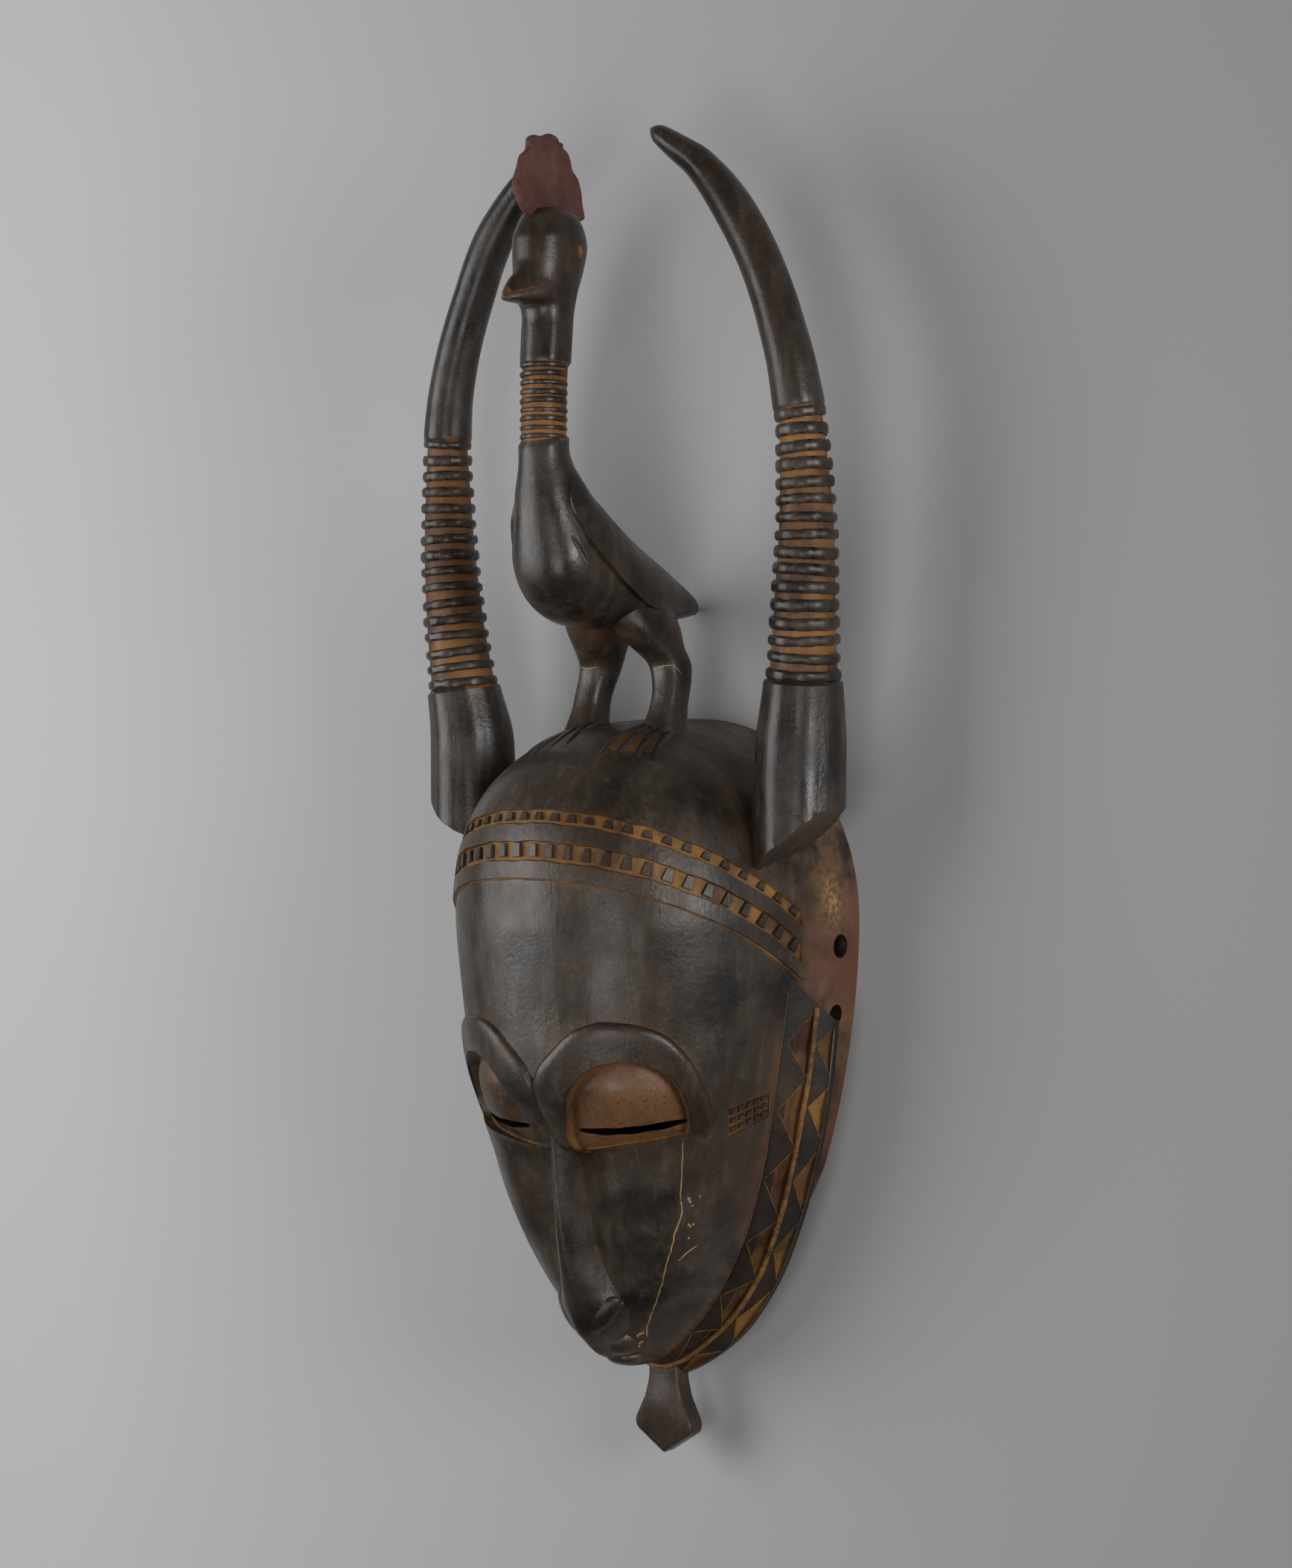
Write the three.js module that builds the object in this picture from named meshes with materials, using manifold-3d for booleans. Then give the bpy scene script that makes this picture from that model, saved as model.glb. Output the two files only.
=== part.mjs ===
// Yaure mask: a horned human face with a bird standing on its crown, carved from one block of wood.
// It lies on the flat rim of its hollow back. Millimetres, +Z up out of the face, +Y towards the
// horn tips, +X on the right of someone looking down at the face.
import * as THREE from 'three';
import { ParametricGeometry } from 'three/addons/geometries/ParametricGeometry.js';
import { mergeVertices } from 'three/addons/utils/BufferGeometryUtils.js';
import Module from 'manifold-3d';

const wasm = await Module();
wasm.setup();

// Overall sizes
const HALF_LENGTH = 247;
const CROWN_Y = 31.5;
const WIDEST_Y = -44.5;
const CHIN_Y = -212.5;
const RIM_TUCK = 3;
const RIM_HALF_WIDTH = 74;
const FACE_DEPTH = 106;
const WALL = 9.5;
const FRONT_WALL = 16;
const SIDES = [1, -1];

// Depth of the face profile on the mid-line, and how square its cross-section is, by height on the mask
const PROFILE = [
  [CHIN_Y, 0], [-211, 30], [-206, 48], [-195, 58.5], [-178.5, 69], [-148.5, 80],
  [-131.5, 84.5], [-118.5, 91], [-100, 100.3], [-78.5, 102.5], [WIDEST_Y, FACE_DEPTH],
];
const SQUARENESS = [
  [CHIN_Y, 2.6], [-143.5, 2.8], [-131.5, 2.75], [-103.5, 2.36], [-78.5, 2.27], [CROWN_Y, 2.4],
];

// Head band: two rows of sunken golden cells that leave dark studs, and the step of the hairline below
const BANDS = [{ top: -2.9, bottom: -7.6 }, { top: -13.2, bottom: -20.9 }];
const BAND_CELLS = 33;
const HAIRLINE = -27;
const CAP_STEP = 1.2;
const CELL_DEPTH = 1.8;
const BAND_END = 0.76;
const BAND_DROP = 37;
const STUD_WIDE = 4.3;
const STUD_NARROW = 2.9;

// Brows, eyes, nose and mouth, measured along the skin from the mid-line
const EYE = { u: 36, y: -115.5, inner: 24.5, outer: 22.5, high: 24.4, floor: -8.6 };
const BROW = { u: 34.3, y: -115.5, inner: 30.5, outer: 27.8, high: 31.2, half: 6.4, rise: 1.7 };
const LID_DEPTH = 5.2;
const LID_BULGE = 2.8;
const SLIT = { from: 11.5, to: 48, high: 2.4, rise: 4.8 };
const LEDGE_Y = -123.5;
const CHEEK_HOLLOW = [[-202, 0], [-181, 0.6], [-166, 2.4], [-146, 5.2], [-122, 9.5], [-108, 9.5]];
const NOSE_CREST = [
  [-206, 56], [-203, 63], [-197, 70.2], [-194.5, 72.8], [-187.5, 76.4], [-175.5, 81],
  [-155.5, 85.8], [-137.5, 88.4], [-121.5, 90], [-107.5, 97], [-98.5, 101],
];
const NOSE_HALF_WIDTH = [
  [-206, 3], [-200, 6], [-192, 12.5], [-184.5, 15.2], [-178, 13], [-168, 10.8], [-123, 10.5], [-98.5, 8],
];
const NOSE_HEIGHT = 13;
const LIPS = [
  { y: -196, z: 49.5, size: [15, 12, 17.5] },
  { y: -202, z: 46, size: [12, 7.6, 14] },
];

// Collar round the lower face: inner and outer edge from its top end to under the chin
const COLLAR_INNER = [
  [68.5, -66.5, 38.5], [63.2, -95.5, 38], [58.5, -120.5, 37], [51, -146.5, 34.5],
  [40.5, -169.5, 32.5], [26, -190.5, 33],
];
const COLLAR_INNER_END = [0, -208, 37];
const COLLAR_OUTER = [
  [78.1, -79.5, 22], [74.8, -106.5, 22], [68.8, -131.5, 21], [60.6, -155.5, 20],
  [48.7, -180, 19], [30.3, -202.5, 19],
];
const COLLAR_OUTER_END = [0, -217.5, 18];
const COLLAR_WIDTH = 20;
const COLLAR_EDGE = 2.4;
const CHIPS = 12;
const CHIP_DEPTH = 1.8;
const CORD_WIDTH = 2.2;

// Horns: centre line and radius by height, right side
const HORN = [
  [246.1, 21, 57.6, 2.2], [243.5, 24.5, 57.5, 3.6], [238.5, 31.2, 57, 4.8], [230.3, 42.1, 56.3, 6.1],
  [211.5, 57.2, 55.5, 7.7], [191.5, 67.7, 54.1, 8], [171.5, 75.3, 53.8, 8.4], [151.5, 80.4, 52.8, 9],
  [131.5, 82.8, 51.1, 10], [101.5, 83.5, 49.3, 11.6], [71.5, 81.9, 47.9, 12.9], [43.5, 79.5, 45.3, 14.3],
  [21.5, 77, 43, 16.4], [-32, 75.5, 43, 17.2],
];
const HORN_SIDES = 8;
const HORN_FULL = 1.04;
const HORN_RINGS = { from: 140, to: 44, count: 16, depth: 1.5 };
const HORN_CUT = { at: [88.2, 32], right: 1, left: 8, slope: [0.5435, -0.437] };

// Bird: line of the back and line of the breast in the mid-plane as [z, y], with the half-width
const BIRD = [
  [[2.2, 74.6], [2.2, 73.4], 1], [[12, 79], [11, 69.5], 7], [[28, 84.5], [27, 66.5], 13],
  [[41.5, 89.5], [41, 64], 17.5], [[54, 95], [58, 62.3], 20], [[65, 101.5], [76.5, 63], 20.5],
  [[74, 108.5], [92.2, 69.5], 19], [[80.5, 114], [100.2, 81.5], 16.5], [[83.5, 119], [102.2, 96], 13.5],
  [[84.8, 124], [102.8, 109], 10.8], [[85.4, 128.5], [102.6, 121], 9], [[85.3, 136], [103, 134], 8.8],
];
const NECK = [
  [[85, 147], [102.8, 147], 8.7], [[84, 159.5], [102, 159.5], 8.7], [[83.1, 173], [101, 173], 9],
  [[81, 183], [103, 179.5], 9.8], [[77.5, 193], [105.8, 188], 11.2], [[75.7, 200.5], [106.4, 198], 11.8],
  [[77.5, 207.5], [103.8, 206.5], 10.6], [[82.5, 212.5], [99.5, 212.5], 7.5], [[90, 214.2], [92, 214.2], 1],
];
const NECK_RINGS = { from: 129.5, to: 158, count: 9, depth: 1.1 };
const BIRD_SIDES = 10;
const WING_RISE = 2.4;
const BEAK = { tip: [0, 178.6, 117], root: [0, 188.5, 101], half: [7, 10.4, 2.6] };
const COMB = [
  [95, 239], [91.5, 240], [88, 234.3], [83, 231.5], [81.5, 226], [76.2, 223.3], [74.8, 215.8],
  [73, 209], [84, 208], [102, 209.5], [103.5, 214], [107.5, 217], [109.4, 221], [106.7, 225.5],
  [106.7, 231], [100.2, 232.5], [100, 237.3],
];
const COMB_THICK = 5.2;
const LEG = [
  { at: [9, 72, 50], half: [7, 20] }, { at: [10.7, 65, 47.3], half: [6.5, 20] },
  { at: [13.1, 58, 44], half: [6.2, 14.6] }, { at: [16.4, 50, 39.6], half: [7, 7.8] },
  { at: [18.2, 38, 42.3], half: [6.4, 7.2] }, { at: [18.1, 24, 46.8], half: [8.2, 9] },
];
const TOE = { length: 29, half: 2.7, count: 3, spread: 0.32, root: [18.1, 53] };

// Lug under the chin, and the cord holes through the rim
const LUG = [[6.8, -213], [6.8, -219], [8.6, -226], [13.4, -235.5], [12.9, -238.5], [0, -HALF_LENGTH]];
const LUG_Z = [14.5, 22.5];
const CORD_HOLES = [-53, -78.5];
const CORD_HOLE = { radius: 3.7, z: 12 };

const clamp = (t) => Math.min(Math.max(t, 0), 1);
const smooth = (t) => clamp(t) ** 2 * (3 - 2 * clamp(t));
const mix = (a, b, t) => a + (b - a) * t;
const bump = (t) => Math.exp(-t * t);

// Value at x on a smooth curve through [x, value] stations that never overshoots them
function curve(stations, x, column = 1) {
  const last = stations.length - 1;
  const dir = Math.sign(stations[last][0] - stations[0][0]);
  let i = 0;
  while (i < last - 1 && (x - stations[i + 1][0]) * dir > 0) i += 1;
  const slope = (k) => (stations[k + 1][column] - stations[k][column]) / (stations[k + 1][0] - stations[k][0]);
  const tangent = (k) => {
    if (k === 0) return slope(0);
    if (k === last) return slope(last - 1);
    const [a, b] = [slope(k - 1), slope(k)];
    return a * b > 0 ? (2 * a * b) / (a + b) : 0;
  };
  const step = stations[i + 1][0] - stations[i][0];
  const t = clamp((x - stations[i][0]) / step);
  const [t2, t3] = [t * t, t * t * t];
  return (2 * t3 - 3 * t2 + 1) * stations[i][column] + (t3 - 2 * t2 + t) * step * tangent(i)
    + (3 * t2 - 2 * t3) * stations[i + 1][column] + (t3 - t2) * step * tangent(i + 1);
}

// Closed solid from a geometry whose shared vertices are merged
function solid(geometry) {
  geometry.deleteAttribute('normal');
  geometry.deleteAttribute('uv');
  const merged = mergeVertices(geometry, 1e-3);
  const vertProperties = new Float32Array(merged.attributes.position.array);
  const triVerts = [];
  let volume = 0;
  const corner = (i) => new THREE.Vector3().fromArray(vertProperties, 3 * i);
  for (let i = 0; i < merged.index.count; i += 3) {
    const [a, b, c] = [0, 1, 2].map((k) => merged.index.getX(i + k));
    if (a === b || b === c || a === c) continue;
    triVerts.push(a, b, c);
    volume += corner(a).dot(corner(b).cross(corner(c)));
  }
  if (volume < 0) triVerts.reverse();
  return new wasm.Manifold(new wasm.Mesh({ numProp: 3, vertProperties, triVerts: new Uint32Array(triVerts) }));
}

// Moves every vertex of a geometry through a function of its own place
function warp(geometry, place) {
  const position = geometry.attributes.position;
  for (let i = 0; i < position.count; i += 1) {
    position.setXYZ(i, ...place(position.getX(i), position.getY(i), position.getZ(i)));
  }
  return geometry;
}

// Closed loft through rings of points; a ring of one repeated point closes an end
function loft(rings) {
  const sides = rings[0].length;
  const centre = (ring) => {
    const sum = ring.reduce((total, p) => total.add(new THREE.Vector3(...p)), new THREE.Vector3());
    return sum.divideScalar(sides).toArray();
  };
  const all = [ring0(centre(rings[0]), sides), ...rings, ring0(centre(rings.at(-1)), sides)];
  const place = (u, v, target) => target.set(...all[Math.round(v * (all.length - 1))][Math.round(u * sides) % sides]);
  return solid(new ParametricGeometry(place, sides, all.length - 1));
}
const ring0 = (point, sides) => Array.from({ length: sides }, () => point);

// Half-width of the rim, and depth and squareness of the section, at height y
function section(y, inset = 0) {
  const top = CROWN_Y - inset * 1.2;
  const chin = CHIN_Y + inset * 1.8;
  const up = clamp((y - WIDEST_Y) / (top - WIDEST_Y));
  const low = clamp((WIDEST_Y - y) / (WIDEST_Y - chin));
  const half = RIM_HALF_WIDTH - inset;
  const inward = inset * (FRONT_WALL / WALL);
  const stretched = mix(WIDEST_Y, CHIN_Y, low);
  const depth = y > WIDEST_Y
    ? (FACE_DEPTH - inward) * (1 - up ** 3) ** (1 / 3)
    : Math.max(curve(PROFILE, stretched) * (1 - inward / FACE_DEPTH), 0);
  const width = y > WIDEST_Y ? half * (1 - up ** 2.1) ** (1 / 2.1) : half * (1 - low ** 1.78) ** (1 / 1.78);
  return { width, depth, square: curve(SQUARENESS, y) };
}

// Point at a fraction of the half-girth from the mid-line, raised off the skin within its section
function girthPoint(y, fraction, rise = 0, inset = 0) {
  const { width, depth, square } = section(y, inset);
  const steps = 48;
  const at = (k) => {
    const angle = (Math.PI / 2) * (k / steps);
    return [width * Math.abs(Math.sin(angle)) ** (2 / square), depth * Math.abs(Math.cos(angle)) ** (2 / square)];
  };
  const lengths = [0];
  let previous = at(0);
  for (let k = 1; k <= steps; k += 1) {
    const next = at(k);
    lengths.push(lengths[k - 1] + Math.hypot(next[0] - previous[0], next[1] - previous[1]));
    previous = next;
  }
  const girth = lengths[steps];
  const wanted = Math.abs(fraction) * girth;
  let k = 1;
  while (k < steps && lengths[k] < wanted) k += 1;
  const t = girth > 0 ? clamp((wanted - lengths[k - 1]) / (lengths[k] - lengths[k - 1] || 1)) : 0;
  const [a, b] = [at(k - 1), at(k)];
  const run = Math.hypot(b[0] - a[0], b[1] - a[1]) || 1;
  const normal = [(a[1] - b[1]) / run, (b[0] - a[0]) / run];
  const side = fraction < 0 ? -1 : 1;
  const z = Math.max(mix(a[1], b[1], t) + normal[1] * rise, 0);
  const tuck = RIM_TUCK * smooth((-132 - y) / 30) * smooth((y - CHIN_Y) / 20) * (1 - smooth(z / 24));
  const x = mix(a[0], b[0], t) + normal[0] * rise - tuck * Math.abs(fraction);
  return { point: [side * x, y, z], u: wanted, girth };
}

// Soft hollow of the cheeks beside the nose, in millimetres off the plain skin
function cheekRelief(u, y) {
  const below = 1 - smooth((y - LEDGE_Y) / 8);
  const beside = bump(Math.max(u - curve(NOSE_HALF_WIDTH, y), 0) / 15);
  return -curve(CHEEK_HOLLOW, y) * beside * below;
}

// Point on the carved skin for a row named by its height on the mid-line; rows sag towards the sides
function skinPoint(row, fraction, extra = 0) {
  const sag = BAND_DROP * smooth((CROWN_Y - row) / 30) * smooth((row + 110) / 83);
  const y = row - sag * Math.min(Math.abs(fraction) / BAND_END, 1) ** 2.1;
  const flat = girthPoint(y, fraction);
  const cap = row > HAIRLINE ? CAP_STEP * (1 - smooth((Math.abs(fraction) - 0.74) / 0.08)) : 0;
  return girthPoint(y, fraction, cap + cheekRelief(flat.u, y) + extra).point;
}

// Point on the plain skin a distance along it from the mid-line, raised off it
function skinAt(u, y, rise) {
  return girthPoint(y, u / girthPoint(y, 0).girth, rise).point;
}

// Rows from crown to chin, with a close pair at the step of the hairline
function skinRows() {
  const rows = [CROWN_Y - 0.3];
  const spread = (from, to, count, easing = 1) => {
    for (let i = 1; i <= count; i += 1) rows.push(mix(from, to, (i / count) ** easing));
  };
  spread(CROWN_Y - 0.3, HAIRLINE + 0.5, 9, 1.7);
  rows.push(HAIRLINE - 0.1);
  spread(HAIRLINE, -118, 7);
  spread(-118, -200, 8);
  spread(-200, CHIN_Y + 0.1, 3, 0.6);
  return rows;
}

// Columns across the face as fractions of the half-girth
function skinColumns() {
  const right = [0.08, 0.16, 0.24, 0.31, 0.38, 0.45, 0.53, 0.61, 0.69, 0.78, 0.88, 1];
  return [...right.map((f) => -f).reverse(), 0, ...right];
}

function headShell() {
  const columns = skinColumns();
  const rings = skinRows().map((row) => columns.map((f) => skinPoint(row, f)));
  return loft([ring0([0, CROWN_Y, 0], columns.length), ...rings, ring0([0, CHIN_Y, 0], columns.length)]);
}

function hollow() {
  const columns = Array.from({ length: 11 }, (_, i) => i / 5 - 1);
  const rings = Array.from({ length: 13 }, (_, i) => {
    const y = mix(CHIN_Y + WALL * 1.8 + 0.4, CROWN_Y - WALL * 1.2 - 0.3, 0.5 - 0.5 * Math.cos((Math.PI * i) / 12));
    const arc = columns.map((f) => girthPoint(y, f, 0, WALL).point);
    const [first, last] = [arc[0], arc.at(-1)];
    return [[first[0], y, -5], ...arc, [last[0], y, -5]];
  });
  return loft(rings);
}

// Brow standing off the skin as a rounded bar, from beside the nose over the eye to its outer corner
function brow(side) {
  const steps = 12;
  const profile = [[-1, -3], [-1, 0.2], [-0.45, 0.95], [0.5, 0.95], [1, 0.3], [1, -3]];
  const rings = Array.from({ length: steps + 1 }, (_, i) => {
    const angle = mix(1.12, -0.12, i / steps) * Math.PI;
    const wide = Math.cos(angle) < 0 ? BROW.inner : BROW.outer;
    const half = BROW.half * (i === steps ? 0.7 : 1);
    return profile.map(([across, off]) => skinAt(
      side * (BROW.u + (wide + across * half) * Math.cos(angle)),
      BROW.y + (BROW.high + across * half) * Math.sin(angle),
      off * BROW.rise,
    ));
  });
  return loft(rings);
}

// Socket sunk under the brow, with the bulging lid as its floor
function socket(side) {
  return solid(warp(new THREE.SphereGeometry(1, 16, 6), (a, b, c) => {
    const radius = Math.hypot(a, b);
    const [cos, sin] = radius > 0 ? [a / radius, b / radius] : [1, 0];
    const wide = cos < 0 ? EYE.inner : EYE.outer;
    const round = 1 / Math.hypot(cos / wide, sin / EYE.high);
    const reach = sin < 0 ? Math.min(round, EYE.floor / sin) : round;
    const u = EYE.u + radius * reach * cos;
    const lid = -LID_DEPTH + LID_BULGE * (1 - radius ** 2) - 3 * bump((u - 11) / 8);
    return skinAt(side * u, EYE.y + radius * reach * sin, c < 0 || radius > 0.999 ? lid : 8);
  }));
}

// Nose as a long rounded ridge that widens to its wings and tucks under at the tip
function nose() {
  const outline = [[-1, -1.5], [-1, -1], [-0.78, -0.5], [-0.4, -0.12], [0, 0], [0.4, -0.12], [0.78, -0.5],
    [1, -1], [1, -1.5]];
  const stations = [-206, -202, -197, -191, -184.5, -178, -168, -152, -137.5, -124, -112, -98.5];
  return loft(stations.map((y) => outline.map(([across, down]) => [
    across * curve(NOSE_HALF_WIDTH, y), y, curve(NOSE_CREST, y) + down * NOSE_HEIGHT,
  ])));
}

// Cell cut into a band between two studs, wider at its upper edge
function cell(band, index) {
  const girth = 140;
  const pitch = (2 * BAND_END * girth) / BAND_CELLS;
  const middle = pitch * (index + 0.5) - BAND_END * girth;
  return solid(warp(new THREE.BoxGeometry(1, 1, 1), (a, b, c) => {
    const width = pitch - mix(STUD_WIDE, STUD_NARROW, b + 0.5);
    const row = mix(band.bottom, band.top, b + 0.5);
    return skinPoint(row, (middle + a * width) / girth, c > 0 ? 2 : -CELL_DEPTH);
  }));
}

function cells() {
  return BANDS.flatMap((band) => Array.from({ length: BAND_CELLS }, (_, i) => cell(band, i)));
}

// Curves of the collar's two edges, from the right top end round the chin to the left one
function mirroredCurve(right, end) {
  const points = [...right, end, ...right.toReversed().map(([x, y, z]) => [-x, y, z])];
  return new THREE.CatmullRomCurve3(points.map((p) => new THREE.Vector3(...p)));
}
const innerEdge = mirroredCurve(COLLAR_INNER, COLLAR_INNER_END);
const outerEdge = mirroredCurve(COLLAR_OUTER, COLLAR_OUTER_END);

// Point on the collar's slanted face: along it, across it from the face outwards, and off it
function collarPoint(along, across, off) {
  const inner = innerEdge.getPoint(along);
  const outer = outerEdge.getPoint(along);
  const run = outerEdge.getTangent(along);
  const normal = outer.clone().sub(inner).cross(run).normalize();
  if (normal.z < 0) normal.negate();
  return inner.lerp(outer, across).addScaledVector(normal, off).toArray();
}

function collar() {
  const segments = 24;
  const half = CORD_WIDTH / COLLAR_WIDTH / 2;
  const cord = [[0.52 - half, 0], [0.52 - half * 0.5, 1], [0.52 + half * 0.5, 1], [0.52 + half, 0]];
  const rings = Array.from({ length: segments + 1 }, (_, i) => {
    const along = i / segments;
    const edge = outerEdge.getPoint(along);
    const middle = new THREE.Vector3(0, edge.y * 0.55 - 30, 0);
    const inward = middle.sub(edge).setZ(0).normalize();
    const back = edge.clone().addScaledVector(inward, 12);
    return [
      collarPoint(along, -0.25, -2.5), collarPoint(along, 0, 0), ...cord.map(([x, off]) => collarPoint(along, x, off)),
      edge.toArray(), [edge.x, edge.y, edge.z - COLLAR_EDGE], [back.x, back.y, edge.z - 5],
    ];
  });
  return loft(rings);
}

// Chip-carved triangle in one of the two rows; point at the face or the cord, base outwards
function chip(along, width, from, to) {
  return solid(warp(new THREE.CylinderGeometry(1, 1, 1, 3), (a, b, c) => {
    const apex = c > 0.9;
    const across = apex ? from : to;
    const side = apex ? 0 : Math.sign(a) * width;
    return collarPoint(along + side, across, b > 0 ? 1.5 : -CHIP_DEPTH * (apex ? 1 : 0.45));
  }));
}

function chips() {
  const step = 1 / CHIPS;
  return Array.from({ length: CHIPS }, (_, i) => (i + 0.5) * step).flatMap((along) => [
    chip(along, step * 0.44, 0.06, 0.44),
    chip(along + (along < 0.5 ? 0.04 : -0.04) * step, step * 0.36, 0.6, 0.97),
  ]);
}

// Rings of a round bar that follows stations of [height, x, z, radius]
function hornRing(y, side, shrink) {
  const at = (h) => new THREE.Vector3(side * curve(HORN, h, 1), h, curve(HORN, h, 2));
  const run = at(y + 1).sub(at(y - 1)).normalize();
  const across = new THREE.Vector3(0, 0, 1).cross(run).normalize();
  const up = run.clone().cross(across);
  const radius = curve(HORN, y, 3) * HORN_FULL - shrink;
  return Array.from({ length: HORN_SIDES }, (_, i) => {
    const angle = (2 * Math.PI * (i + 0.5)) / HORN_SIDES;
    const middle = at(y);
    middle.addScaledVector(across, radius * Math.cos(angle)).addScaledVector(up, radius * Math.sin(angle));
    return middle.toArray();
  });
}

function horn(side) {
  const { from, to, count, depth } = HORN_RINGS;
  const pitch = (from - to) / count;
  const plain = HORN.map(([y]) => y).filter((y) => y > from + 2 || y < to - 2);
  const ringed = Array.from({ length: count }, (_, i) => from - pitch * i).flatMap((top) => [
    [top, depth], [top - pitch / 2, -0.2],
  ]);
  const rows = [...plain.map((y) => [y, y > from ? 0.6 : 0.9]), ...ringed].sort((a, b) => b[0] - a[0]);
  const bar = loft(rows.map(([y, shrink]) => hornRing(y, side, shrink)));
  const [nx, nz] = HORN_CUT.slope;
  const [px, pz] = HORN_CUT.at;
  const py = side > 0 ? HORN_CUT.right : HORN_CUT.left;
  const below = solid(warp(new THREE.BoxGeometry(120, 80, 120), (a, b, c) => {
    const x = 75 + a;
    const z = 45 + c;
    const cut = py + nx * (x - px) + nz * (z - pz);
    return [side * x, b > 0 ? cut : cut - 80, z];
  }));
  return bar.subtract(below);
}

// Ring of the bird's body between a point of its back and one of its breast
function birdRing([back, breast, half], shrink = 0, wing = 0) {
  return Array.from({ length: BIRD_SIDES }, (_, i) => {
    const angle = (2 * Math.PI * i) / BIRD_SIDES;
    const high = Math.cos(angle);
    const mid = [(back[0] + breast[0]) / 2, (back[1] + breast[1]) / 2];
    const reach = Math.hypot(back[0] - breast[0], back[1] - breast[1]) / 2;
    const keep = (reach - shrink) / reach;
    const folded = wing * (high > -0.3 ? 1 : -0.4) * Math.abs(Math.sin(angle));
    return [
      (half - shrink + folded) * Math.sin(angle),
      mid[1] + (back[1] - mid[1]) * high * keep,
      mid[0] + (back[0] - mid[0]) * high * keep,
    ];
  });
}

function birdBody() {
  const { from, to, count, depth } = NECK_RINGS;
  const pitch = (to - from) / count;
  const stations = [...BIRD.slice(-1), ...NECK].map(([back, breast, half]) => [
    (back[1] + breast[1]) / 2, back[0], breast[0], half,
  ]);
  const rings = BIRD.slice(0, -1).map((station, i) => birdRing(station, 0, i > 0 && i < 8 ? WING_RISE / 2 : 0));
  for (let i = 0; i < count; i += 1) {
    [[0, depth], [0.5, -0.2]].forEach(([t, shrink]) => {
      const y = from + pitch * (i + t);
      const column = (k) => curve(stations, y, k);
      rings.push(birdRing([[column(1), y], [column(2), y], column(3)], shrink));
    });
  }
  rings.push(...NECK.slice(1).map((station) => birdRing(station)));
  return loft(rings);
}

function beak() {
  const { tip, root, half } = BEAK;
  const cone = new THREE.ConeGeometry(1, 1, 8, 1);
  return solid(warp(cone, (a, b, c) => {
    const t = b + 0.5;
    return [a * half[0], mix(root[1], tip[1], t) + c * half[1], mix(root[2], tip[2], t) + c * half[2]];
  }));
}

function comb() {
  const shape = new THREE.Shape(COMB.map(([z, y]) => new THREE.Vector2(z, y)));
  const plate = new THREE.ExtrudeGeometry(shape, { depth: COMB_THICK, bevelEnabled: false });
  return solid(warp(plate, (z, y, x) => [x - COMB_THICK / 2, y, z]));
}

function leg(side) {
  const sides = 8;
  return loft(LEG.map(({ at: [x, y, z], half }) => Array.from({ length: sides }, (_, i) => {
    const angle = (2 * Math.PI * (i + 0.5)) / sides;
    return [side * x + half[0] * Math.cos(angle), y, z + half[1] * Math.sin(angle)];
  })));
}

// Toes spread down the front of the crown as low ridges
function toe(side, index) {
  const fan = (index - (TOE.count - 1) / 2) * TOE.spread;
  const sides = 4;
  const steps = 2;
  const rings = Array.from({ length: steps + 1 }, (_, i) => {
    const t = i / steps;
    const z = TOE.root[1] + TOE.length * t * Math.cos(fan);
    const x = side * TOE.root[0] + TOE.length * t * Math.sin(fan);
    const y = crownHeight(x, z);
    const half = TOE.half * (1 - 0.45 * t ** 3);
    return Array.from({ length: sides }, (_, k) => {
      const angle = (2 * Math.PI * k) / sides;
      return [x + half * Math.cos(angle), y + 0.6 + 1.9 * Math.sin(angle), z];
    });
  });
  return loft(rings);
}

// Height of the dome above a point of its plan
function crownHeight(x, z) {
  let [low, high] = [WIDEST_Y, CROWN_Y];
  for (let i = 0; i < 30; i += 1) {
    const y = (low + high) / 2;
    const { width, depth, square } = section(y);
    const inside = (Math.abs(x) / width) ** square + (z / depth) ** square < 1;
    if (inside) low = y;
    else high = y;
  }
  return low;
}

function lips() {
  return LIPS.map(({ y, z, size }) => solid(warp(new THREE.SphereGeometry(1, 12, 6), (a, b, c) => [
    a * size[0], y + b * size[1], z + c * size[2],
  ])));
}

function lug() {
  const right = LUG.map(([x, y]) => new THREE.Vector2(x, y));
  const left = LUG.slice(0, -1).map(([x, y]) => new THREE.Vector2(-x, y)).reverse();
  const shape = new THREE.Shape([...right, ...left]);
  const plate = new THREE.ExtrudeGeometry(shape, { depth: LUG_Z[1] - LUG_Z[0], bevelEnabled: false });
  return solid(warp(plate, (x, y, z) => [x, y, z + LUG_Z[0]]));
}

// Eye slit cut straight back through the lid
function eyeSlit(side) {
  const steps = 4;
  const top = [];
  const bottom = [];
  for (let i = 0; i <= steps; i += 1) {
    const t = i / steps;
    const x = mix(SLIT.from, SLIT.to, t);
    const y = EYE.y - 2.4 + SLIT.rise * t ** 2;
    const half = (SLIT.high / 2) * (1 - (2 * t - 1) ** 6) + 0.3;
    top.push(new THREE.Vector2(side * x, y + half));
    bottom.push(new THREE.Vector2(side * x, y - half));
  }
  const shape = new THREE.Shape([...top, ...bottom.reverse()]);
  const cutter = new THREE.ExtrudeGeometry(shape, { depth: 90, bevelEnabled: false });
  return solid(warp(cutter, (x, y, z) => [x, y, z + 35]));
}

function cordHole(side, y) {
  const { radius, z } = CORD_HOLE;
  const drill = new THREE.CylinderGeometry(radius, radius, 60, 7);
  return solid(warp(drill, (a, b, c) => [side * 70 + b, y + a, z + c]));
}

const united = (solids) => solids.reduce((all, next) => all.add(next));

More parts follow.
